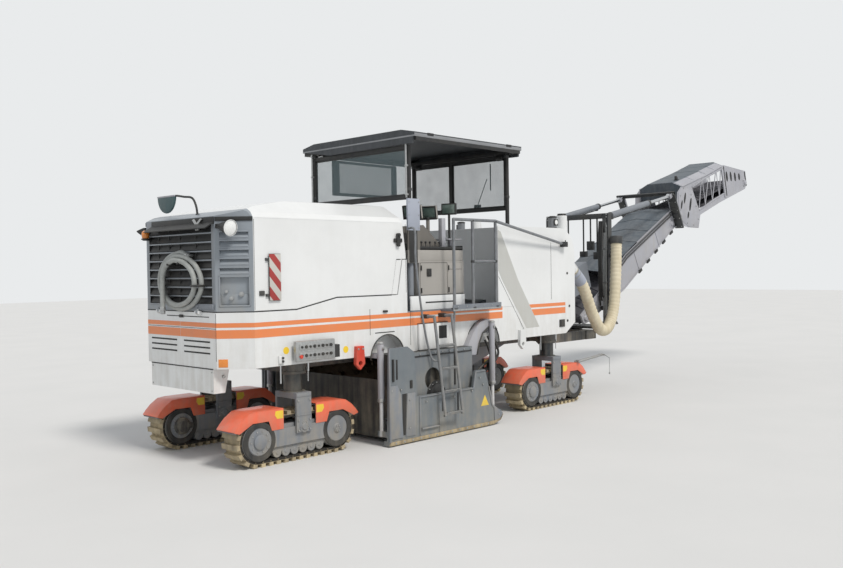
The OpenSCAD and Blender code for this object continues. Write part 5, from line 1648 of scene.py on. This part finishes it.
@dataclass
class MillingUnit:
    """Milling drum under its housing, scraper and side plates."""

    face_y: float = -1300.0
    housing_y: float = -1205.0

    def build(self) -> None:
        """Dresses the milling unit and adds its detail."""
        # Housing and scraper are near black: painted shade under the body
        dress(["drum_housing", "scraper"], HOUSING_PAINTED_SHADE)
        dress(["side_plate_right", "side_plate_left"], PLATE_GREY, 4)
        dress(["plate_cylinders"], SHEET_GREY, 3)
        dress(["milling_drum"], DRUM_STEEL)
        for side in Side:
            self.plate_detail(side)
        self.housing_detail()
        self.shroud()
        self.cylinder_detail()

    def plate_detail(self, side: Side) -> None:
        """Adds ribs, slots, lips, runner, bolts and the blank triangle of one side plate.

        Args:
            side: Side of the machine.
        """
        body = f"side_plate_{side.name.lower()}"
        face = Matrix.Translation((0, self.face_y, 0))
        relief, dark, worn, mark, bolts = (Shape(face) for _ in range(5))
        relief.plate([(2640, 572), (3690, 572), (3740, 790), (3956, 790), (3962, 782), (3760, 782), (3712, 560),
                      (2640, 560)], Axis.Y, -16, 20, 3)
        relief.box((2636, -12, 80), (2652, 2, 566), 3)
        relief.box((3010, -8, 70), (3024, 2, 440), 3)
        relief.plate([(2110, 96), (2330, 96), (2300, 640), (2240, 760), (2110, 760)], Axis.Y, -14, 18, 4)
        relief.plate([(2380, 96), (2560, 96), (2560, 640), (2420, 640)], Axis.Y, -10, 14, 4)
        relief.box((2090, -22, 60), (2112, 2, 1222), 4)
        relief.plate([(4150, 64), (4286, 88), (4338, 148), (4112, 300), (4040, 560), (4020, 560), (4086, 296),
                      (4140, 240)], Axis.Y, -12, 16, 3)
        relief.box((2662, -34, 150), (2990, -4, 168), 3)
        dark.plate([(2332, 120), (2376, 120), (2410, 640), (2330, 640)], Axis.Y, -3, 4)
        for low, high in (((2156, -16, 812), (2186, 1, 1090)), ((2226, -3, 830), (2256, 1, 1080)),
                          ((3068, -3, 330), (3104, 1, 545)), ((3366, -3, 300), (3402, 1, 545)),
                          ((2470, -12, 700), (2510, 1, 800))):
            dark.box(low, high, 3)
        worn.box((2096, -12, 15.5), (4140, 34, 62), 5)
        worn.plate([(4130, 16), (4284, 58), (4342, 134), (4330, 146), (4262, 84), (4130, 62)], Axis.Y, -12, 46,
                   3)
        mark.plate([(3862, 300), (4032, 300), (3947, 448)], Axis.Y, -2.5, 3, 1.2)
        spots = ((2140, 700), (2300, 700), (2450, 560), (2450, 200), (3830, 700), (3900, 600), (3660, 540),
                 (3300, 500), (2760, 500), (4240, 140))
        bolts.studs(spots, Axis.Y, -20, 1, 12, bevel=1.5)
        bolts.studs([(x, 40) for x in range(2200, 4100, 150)], Axis.Y, -18, -10, 14, 8, 2)
        named = ((relief, "reliefs", STEEL_GREY), (dark, "slots", SEAM_BLACK), (worn, "runner", SHOE_STEEL),
                 (mark, "blank_sign", SIGNAL_YELLOW), (bolts, "bolts", ZINC))
        for shape, part, finish in named:
            if side is Side.LEFT:
                bmesh.ops.scale(shape.bm, vec=(1, -1, 1), verts=shape.bm.verts[:])
            shape.piece(f"{body}_{part}", finish, body)

    def housing_detail(self) -> None:
        """Adds the drum bearing cover, ribs and bolts on the housing's sides."""
        face = Matrix.Translation((0, self.housing_y, 0))
        cover, bolts = Shape(face), Shape(face)
        cover.turned([(0, 34), (118, 34), (136, 26), (142, 10), (176, 8), (184, 0)], (3060, 0, 550), (0, -1, 0),
                     48)
        for x in (2620, 3420):
            cover.box((x, -14, 640), (x + 24, 2, 1120), 3)
        cover.box((2270, -10, 1066), (3780, 2, 1084), 3)
        cover.pair("drum_bearing_covers", DARK_PAINT_AND_GRILLE_SHADE)
        bolts.studs(ring(3060, 550, 158, 12), Axis.Y, -16, -4, 10, bevel=1.5)
        bolts.studs([(x, 1104) for x in range(2320, 3780, 145)], Axis.Y, -10, 1, 11, bevel=1)
        bolts.pair("housing_bolts", ZINC)

    def shroud(self) -> None:
        """Adds the curved light grey shroud over the front cylinder and the hose bundle under it."""
        duct, pipes, plate, slots = Shape(), Shape(), Shape(AT_SIDE), Shape(AT_SIDE)
        outer = [(3716, 998), (3812, 1140), (3931, 1313), (4075, 1443), (4245, 1486), (4390, 1425),
                 (4452, 1328)]
        inner = [(4440, 1322), (4380, 1384), (4265, 1371), (4121, 1287), (4045, 1154), (3994, 991)]
        duct.plate(outer + inner, Axis.Y, -1128, 96, 10)
        duct.pair("front_cylinder_shrouds", SHEET_GREY)
        rim = Shape()
        rim.swept([(x, -1130, z) for x, z in inner], 12, 12)
        for k, (x, z) in enumerate(((4340, 760), (4400, 700), (4460, 820), (4520, 740))):
            rim.box((x, -1080 + 20 * k, z), (x + 46, -1010 + 20 * k, z + 90), 6)
            rim.rod((x + 23, -1045 + 20 * k, z + 84), (x + 23, -1045 + 20 * k, z + 140), 14, 14, 3)
        rim.pair("shroud_rims_and_valves", BLACK_PLASTIC)
        for k, (x, z) in enumerate(((4440, 1130), (4500, 1100), (4560, 1120), (4380, 1080))):
            route = [(x - 30, -980, z + 90), (x, -1010, z - 10), (x + 30, -1030, z - 170),
                     (x - 20 - 40 * k, -1010, 800), (x - 330 - 30 * k, -960, 700 - 30 * k),
                     (3780, -930, 690 - 40 * k)]
            pipes.swept(smooth_route(route, 8), 17, 12)
        pipes.pair("housing_pipes", BLACK_PLASTIC)
        plate.box((2885, -40, 1136), (3466, 2, 1478), 10)
        plate.pair("side_panels", WHITE_PAINT)
        slots.box((3265, -42, 1267), (3423, -38, 1440), 3)
        slots.box((2885, -24, 1478), (3466, 1, 1488), 2)
        slots.pair("side_valve_slots", SEAM_BLACK)

    def cylinder_detail(self) -> None:
        """Adds glands, caps and ports to the side plate cylinders."""
        trim = Shape()
        for x, top in ((2110, 1300), (4300, 1450)):
            trim.turned([(27, 0), (40, 0), (48, 8), (48, 40), (42, 46)], (x, -1150, 552), (0, 0, 1), 28)
            trim.turned([(42, 0), (46, 4), (46, 20), (36, 30), (0, 33)], (x, -1150, top - 24), (0, 0, 1), 28)
            trim.box((x - 16, -1206, top - 96), (x + 16, -1186, top - 60), 4)
        trim.pair("plate_cylinder_trim", ZINC)


@dataclass
class Conveyor:
    """Slewing mast and folding discharge conveyor with its covers, belts and cylinders."""

    half: float = 480.0
    cover_edge: tuple[tuple[float, float], ...] = ((354.0, 690.0), (1513.0, 705.0), (2330.0, 745.0))

    @property
    def inner(self) -> Matrix:
        """Frame of the inner boom, with X along it."""
        return Matrix.Translation(PIVOT) @ Matrix.Rotation(radians(-29), 4, "Y")

    @property
    def outer(self) -> Matrix:
        """Frame of the outer boom, with X along it."""
        return Matrix.Translation(KNUCKLE) @ Matrix.Rotation(radians(-15), 4, "Y")

    def build(self) -> None:
        """Dresses the conveyor and adds its detail."""
        dress(["boom_inner", "boom_outer"], SHEET_GREY, 3)
        dress(["belt_inner", "belt_outer"], BELT_RUBBER)
        dress(["slew_mast"], DARK_STEEL, 4)
        dress(["primary_conveyor"], STEEL_GREY, 4)
        dress(["lift_barrels"], STEEL_GREY)
        dress(["lift_rods"], CHROME_ROD)
        self.outer_cover()
        self.outer_sides()
        self.inner_cover()
        self.inner_sides()
        self.crossbar()
        self.cleats()
        self.mast()
        self.suction()

    def outer_cover(self) -> None:
        """Lays the blue grey cover sheets with their seams over the arched top of the outer boom."""
        skin, seams, tubes, lamp = Shape(self.outer), Shape(), Shape(self.outer), Shape(self.outer)
        section = ((-self.half - 1, -3.0), (-280, 95.5), (280, 95.5), (self.half + 1, -3.0))
        for (u0, v0), (u1, v1) in zip(self.cover_edge, self.cover_edge[1:]):
            skin.folded(((u0 + 3, v0), (u1 - 3, v1)), section)
        bmesh.ops.solidify(skin.bm, geom=skin.bm.faces[:], thickness=-3)
        curtain = [(-self.half, 430), (self.half, 430)] + [(y, 688 + rise) for y, rise in reversed(section)]
        skin.plate(curtain, Axis.X, 350, 4)
        skin.piece("outer_cover_sheets", COVER_SHEET, "outer_boom")
        for u, v in ((380, 691), (930, 698), (1500, 705), (1540, 706), (1930, 726), (2306, 744)):
            row = [self.outer @ Vector((u, y, v + rise - 5)) for y, rise in section]
            for start, end in zip(row, row[1:]):
                seams.rod(start, end, 8, 8)
        seams.piece("outer_cover_ribs", COVER_SHEET, "outer_boom")
        for y in (-self.half - 4, self.half + 4):
            path = ((360, 684), (900, 691), (1513, 699), (2000, 723), (2330, 739))
            tubes.swept([(u, y, v) for u, v in path], 15, 12)
        tubes.piece("outer_cover_edge_tubes", SHEET_GREY, "outer_boom")
        lamp.box((560, -296, 792), (640, -216, 806), 4)
        lamp.turned([(0, 74), (20, 72), (30, 58), (33, 8), (36, 0)], (600, -256, 804), (0, 0, 1), 24)
        lamp.piece("conveyor_lamp", BLACK_PLASTIC, "outer_boom")

    def outer_sides(self) -> None:
        """Adds the knuckle plates, lattice flanges, bearings and dark openings of the outer boom."""
        face = self.outer @ Matrix.Translation((0, -self.half, 0))
        plates, dark, bolts = Shape(face), Shape(face), Shape(face)
        plates.plate([(360, 684), (180, 600), (80, 90), (420, -176), (846, -292), (980, -60), (958, 40),
                      (770, 520)], Axis.Y, -7, 8, 2.5)
        plates.plate([(800, 566), (1513, 640), (2250, 676), (2250, 704), (1513, 670), (800, 596)], Axis.Y, -10,
                     12, 2.5)
        plates.plate([(980, 30), (1730, 98), (2250, 120), (2250, 150), (1730, 128), (980, 60)], Axis.Y, -10, 12,
                     2.5)
        plates.box((2246, -14, 40), (2330, 1, 742), 4)
        for u in (1990, 1640, 1290):
            plates.box((u - 12, -8, 92), (u + 12, 1, 668), 3)
        plates.turned([(0, 34), (40, 34), (52, 26), (60, 8), (94, 6), (98, 0)], (3350, 0, 150), (0, -1, 0), 28)
        plates.turned([(0, 30), (34, 30), (44, 22), (48, 8), (84, 6), (88, 0)], (150, -6, 150), (0, -1, 0), 28)
        plates.pair("outer_boom_flanges", SHEET_GREY, "outer_boom")
        round_hole = ring(0, 0, 1, 18)
        for u, v, tall, wide in ((250, 330, 150, 34), (420, 430, 190, 40), (620, 250, 230, 44),
                                 (470, 60, 120, 36)):
            dark.plate([(u + wide * c + 0.28 * tall * s, v + 0.55 * tall * s) for c, s in round_hole], Axis.Y,
                       -9, 3)
        for u, v, tall in ((2480, 470, 230), (2680, 430, 220), (2890, 380, 200), (3100, 340, 160)):
            dark.plate([(u + 46 * c, v + 0.5 * tall * s) for c, s in round_hole], Axis.Y, -2.5, 3)
        dark.box((2340, -16, 60), (2366, 1, 720), 3)
        dark.box((3392, -10, 60), (3424, 1, 396), 3)
        dark.pair("outer_boom_openings", SEAM_BLACK, "outer_boom")
        spots = ((150, 240), (240, 520), (420, 640), (700, 440), (860, 160), (880, -120), (640, -190),
                 (380, -90), (2286, 110), (2286, 400), (2286, 690), (3280, 90), (3280, 210), (3420, 90))
        bolts.studs(spots, Axis.Y, -20, -4, 12, bevel=1.5)
        bolts.pair("outer_boom_bolts", ZINC, "outer_boom")

    def inner_cover(self) -> None:
        """Adds the folded cover sheets over the inner boom."""
        sheets, ribs = Shape(self.inner), Shape()
        roof = ((-462, 3), (0, 62), (462, 3))
        for u0, u1 in ((506, 1090), (1106, 1690), (1706, 2180), (2200, 2660), (2680, 3150)):
            low = min(431 - (u0 - 1700) * 0.0442, 445)
            high = min(431 - (u1 - 1700) * 0.0442, 445)
            for u, v in ((u0, low), (u1, high)):
                row = [self.inner @ Vector((u, y, v + rise + 2)) for y, rise in roof]
                for start, end in zip(row, row[1:]):
                    ribs.rod(start, end, 8, 8)
            sheets.folded(((u0, low), (u1, high)), roof)
        bmesh.ops.solidify(sheets.bm, geom=sheets.bm.faces[:], thickness=3)
        sheets.piece("inner_cover_sheets", COVER_SHEET, "inner_boom")
        ribs.piece("inner_cover_ribs", COVER_SHEET, "inner_boom")

    def inner_sides(self) -> None:
        """Adds rails, flanges, bearings and roller brackets along the inner boom."""
        face = self.inner @ Matrix.Translation((0, -self.half, 0))
        rails, trim, brackets = Shape(face), Shape(face), Shape(face)
        for drop in (22, 78):
            route = [(u, -16, v - drop) for u, v in ((150, 300), (1200, 440), (3150, 352))]
            rails.swept(route, 13, 12)
            for u in (400, 1000, 1600, 2200, 2800):
                v = 440 - (u - 1200) * 0.045 if u > 1200 else 300 + (u - 100) * 0.127
                rails.box((u - 14, -20, v - drop - 8), (u + 14, 1, v - drop + 8), 3)
        rails.pair("inner_boom_rails", DARK_STEEL, "inner_boom")
        trim.plate([(-640, 72), (-450, 12), (870, -103), (3190, 3), (3190, 22), (870, -84), (-450, 30),
                    (-640, 90)], Axis.Y, -14, 16, 2.5)
        trim.plate([(-644, 74), (-620, 66), (-620, 246), (-644, 240)], Axis.Y, -12, 14, 2.5)
        for u in (600, 1500, 2400):
            v = 430 - abs(u - 1200) * 0.06
            trim.box((u - 12, -9, -60), (u + 12, 1, v - 100), 3)
        trim.turned([(0, 32), (36, 32), (46, 24), (52, 8), (90, 6), (94, 0)], (-540, 0, 120), (0, -1, 0), 28)
        trim.turned([(0, 30), (36, 30), (46, 22), (50, 8), (80, 6), (84, 0)], (3062, 0, 120), (0, -1, 0), 28)
        trim.pair("inner_boom_flanges", SHEET_GREY, "inner_boom")
        for u, v in ((1500, -66), (1860, -50), (2220, -34), (2580, -18), (2940, -2)):
            brackets.box((u - 60, -30, v - 44), (u + 60, 4, v + 10), 6)
            brackets.rod((u, -34, v - 16), (u, 2, v - 16), 24, 20, 4)
        brackets.pair("inner_roller_brackets", BLACK_PLASTIC, "inner_boom")

    def crossbar(self) -> None:
        """Clads the frame at the end of the inner boom in dark sheet and bolts it."""
        frame, bolts = Shape(self.inner), Shape(self.inner)
        frame.box((3169, -653, -48), (3205, -484, 763), 5)
        frame.box((3160, -660, 300), (3170, -484, 420), 4)
        for v in (120, 250, 560):
            frame.box((3164, -640, v), (3170, -500, v + 26), 2)
        frame.mirrored()
        frame.box((3169, -653, 697), (3205, 653, 763), 5)
        frame.box((3140, -640, 705), (3172, 640, 716), 2)
        frame.piece("conveyor_crossbar", DARK_STEEL, "inner_boom")
        bolts.studs([(y, v) for y in (-630, -508) for v in range(0, 721, 180)], Axis.X, 3150, 3172, 11, bevel=1)
        bolts.pair("crossbar_bolts", ZINC, "inner_boom")
        caps = Shape(self.inner)
        caps.turned([(0, 44), (30, 44), (40, 34), (44, 10), (66, 8), (70, 0)], (3312, -506, 0), (0, -1, 0), 28)
        caps.pair("knuckle_caps", ZINC, "inner_boom")

    def cleats(self) -> None:
        """Adds the raised chevron cleats of both belts."""
        runs = (("inner", "inner_boom", self.inner, -540, 3062, 120),
                ("outer", "outer_boom", self.outer, 150, 3350, 150))
        for word, body, frame_of, start, end, middle in runs:
            cleats = Shape()
            for k in range(int((end - start) / 200)):
                u = start + 60 + 200 * k
                for way in (-1, 1):
                    for v in (middle + 95, middle - 95):
                        slant = Matrix.Rotation(radians(way * 28), 4, "Z")
                        cleats.turn = frame_of @ Matrix.Translation((u, way * 190, v)) @ slant
                        cleats.box((-8, -196, -7), (8, 196, 7), 2)
            cleats.piece(f"belt_cleats_{word}", BELT_RUBBER, body)

    def mast(self) -> None:
        """Adds gussets, side frames, clamps and lift eyes to the mast."""
        gussets, pipes, bolts = Shape(), Shape(), Shape()
        gussets.plate([(8312, 1150), (8310, 1420), (8560, 1150)], Axis.Y, -640, 14, 3)
        gussets.plate([(8188, 1150), (8190, 1380), (7990, 1150)], Axis.Y, -640, 14, 3)
        gussets.plate([(8188, 3058), (8188, 2820), (8160, 2800), (8160, 3058)], Axis.Y, -640, 60, 4)
        gussets.box((8186, -676, 2480), (8196, -544, 2700), 4)
        for z in (1700, 2360):
            gussets.box((8170, -700, z), (8330, -668, z + 60), 6)
        gussets.mirrored()
        gussets.box((8184, -548, 3064), (8192, 548, 3146), 2)
        gussets.piece("mast_gussets", DARK_STEEL, "slewing_mast")
        for k, y in enumerate((-578, -606, -634)):
            pipes.swept(((8176, y, 1160), (8176, y, 2990 - 30 * k), (8170, y, 3040 - 30 * k)), 10, 12)
        for z in (1300, 1900, 2500, 2900):
            pipes.box((8164, -650, z), (8192, -562, z + 30), 4)
        pipes.pair("mast_pipes", ZINC, "slewing_mast")
        hoses = Shape()
        for k in range(3):
            y = -500 - 34 * k
            route = [(8184, y, 1500 + 90 * k), (8130, y - 20, 1700), (8104 - 12 * k, y - 30, 2200),
                     (8120, y - 20, 2700), (8180, y, 3010)]
            hoses.swept(smooth_route(route, 10), 15, 12)
        hoses.mirrored()
        for y, z, height in ((-470, 2330, 130), (-330, 2500, 160), (-180, 2380, 100), (150, 2420, 150)):
            hoses.box((8200, y, z), (8290, y + 120, z + height), 8)
            hoses.rod((8245, y + 60, z + height - 4), (8245, y + 60, 3070), 14, 12)
        hoses.piece("mast_hoses", BLACK_PLASTIC, "slewing_mast")
        spots = [(y, z) for y in (-640, 640) for z in (1180, 1260, 3080, 3130)]
        bolts.studs(spots, Axis.X, 8178, 8191, 12, bevel=1)
        clear = [spot for spot in ring(7900, 0, 250, 16, 90) if spot[0] < 7987]
        bolts.studs(clear, Axis.Z, 1148, 1162, 13, bevel=1)
        bolts.piece("mast_bolts", ZINC, "slewing_mast")
        self.cylinders()

    def cylinders(self) -> None:
        """Adds glands, ports and lines to the conveyor's lift cylinders."""
        foot = Vector((8370, 0, 3105))
        eye = self.inner @ Vector((3102, 0, 700))
        tilt = atan2(eye.z - foot.z, eye.x - foot.x)
        turn = Matrix.Translation(foot) @ Matrix.Rotation(-tilt, 4, "Y")
        glands = Shape(turn)
        glands.turned([(31.5, 6), (50, 6), (60, 0), (62, -10), (62, -52), (56, -58)], (1495, -560, 0),
                      (1, 0, 0), 28)
        glands.turned([(56, 0), (61, 4), (61, 40), (56, 46)], (50, -560, 0), (1, 0, 0), 28)
        glands.box((1380, -586, -78), (1430, -534, -50), 5)
        glands.box((90, -586, -78), (140, -534, -50), 5)
        glands.rod((120, -560, -66), (1400, -560, -66), 9, 12)
        glands.pair("lift_cylinder_trim", DARK_STEEL, "lift_barrels")

    def suction(self) -> None:
        """Adds the ribbed suction hose between the body and the mast, with its clamps."""
        points = ((6700, -900, 2150), (7000, -900, 1900), (7300, -900, 1400), (7580, -880, 1120),
                  (7860, -860, 1160), (8080, -840, 1500), (8190, -820, 2100), (8250, -800, 2600))
        route = smooth_route(points, 24)
        shape = Shape()
        shape.swept(route, 92, 28, lambda i: 7.5 if i % 3 == 1 else 0.0)
        hose = shape.piece("ribbed_suction_hose", SUCTION_HOSE, None, 80, "hose_cream")
        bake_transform(hose)
        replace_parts(hose, "suction_hose")
        clamps = Shape()
        start = (route[3] - route[0]).normalized()
        for back in (30, 110):
            near = route[0] + start * back
            clamps.rod(near, near + start * 18, 106, 32, 2)
        clamps.piece("suction_hose_clamps", ZINC)
        cuff = Shape()
        cuff.swept(route[4:22], 102, 28)
        cuff.piece("suction_hose_cuff", PALE_COVER)


def main() -> None:
    """Builds every sub-assembly in order."""
    logging.basicConfig(level=logging.INFO, format="%(name)s: %(message)s")
    bpy.context.scene.view_settings.view_transform = "Standard"
    for part in (Studio(), WaterHose(), RearEnd(), HoodSkin(), BodySkin(), Platform(), Canopy(),
                 Undercarriage(), MillingUnit(), Conveyor()):
        part.build()


if __name__ == "__main__":
    main()
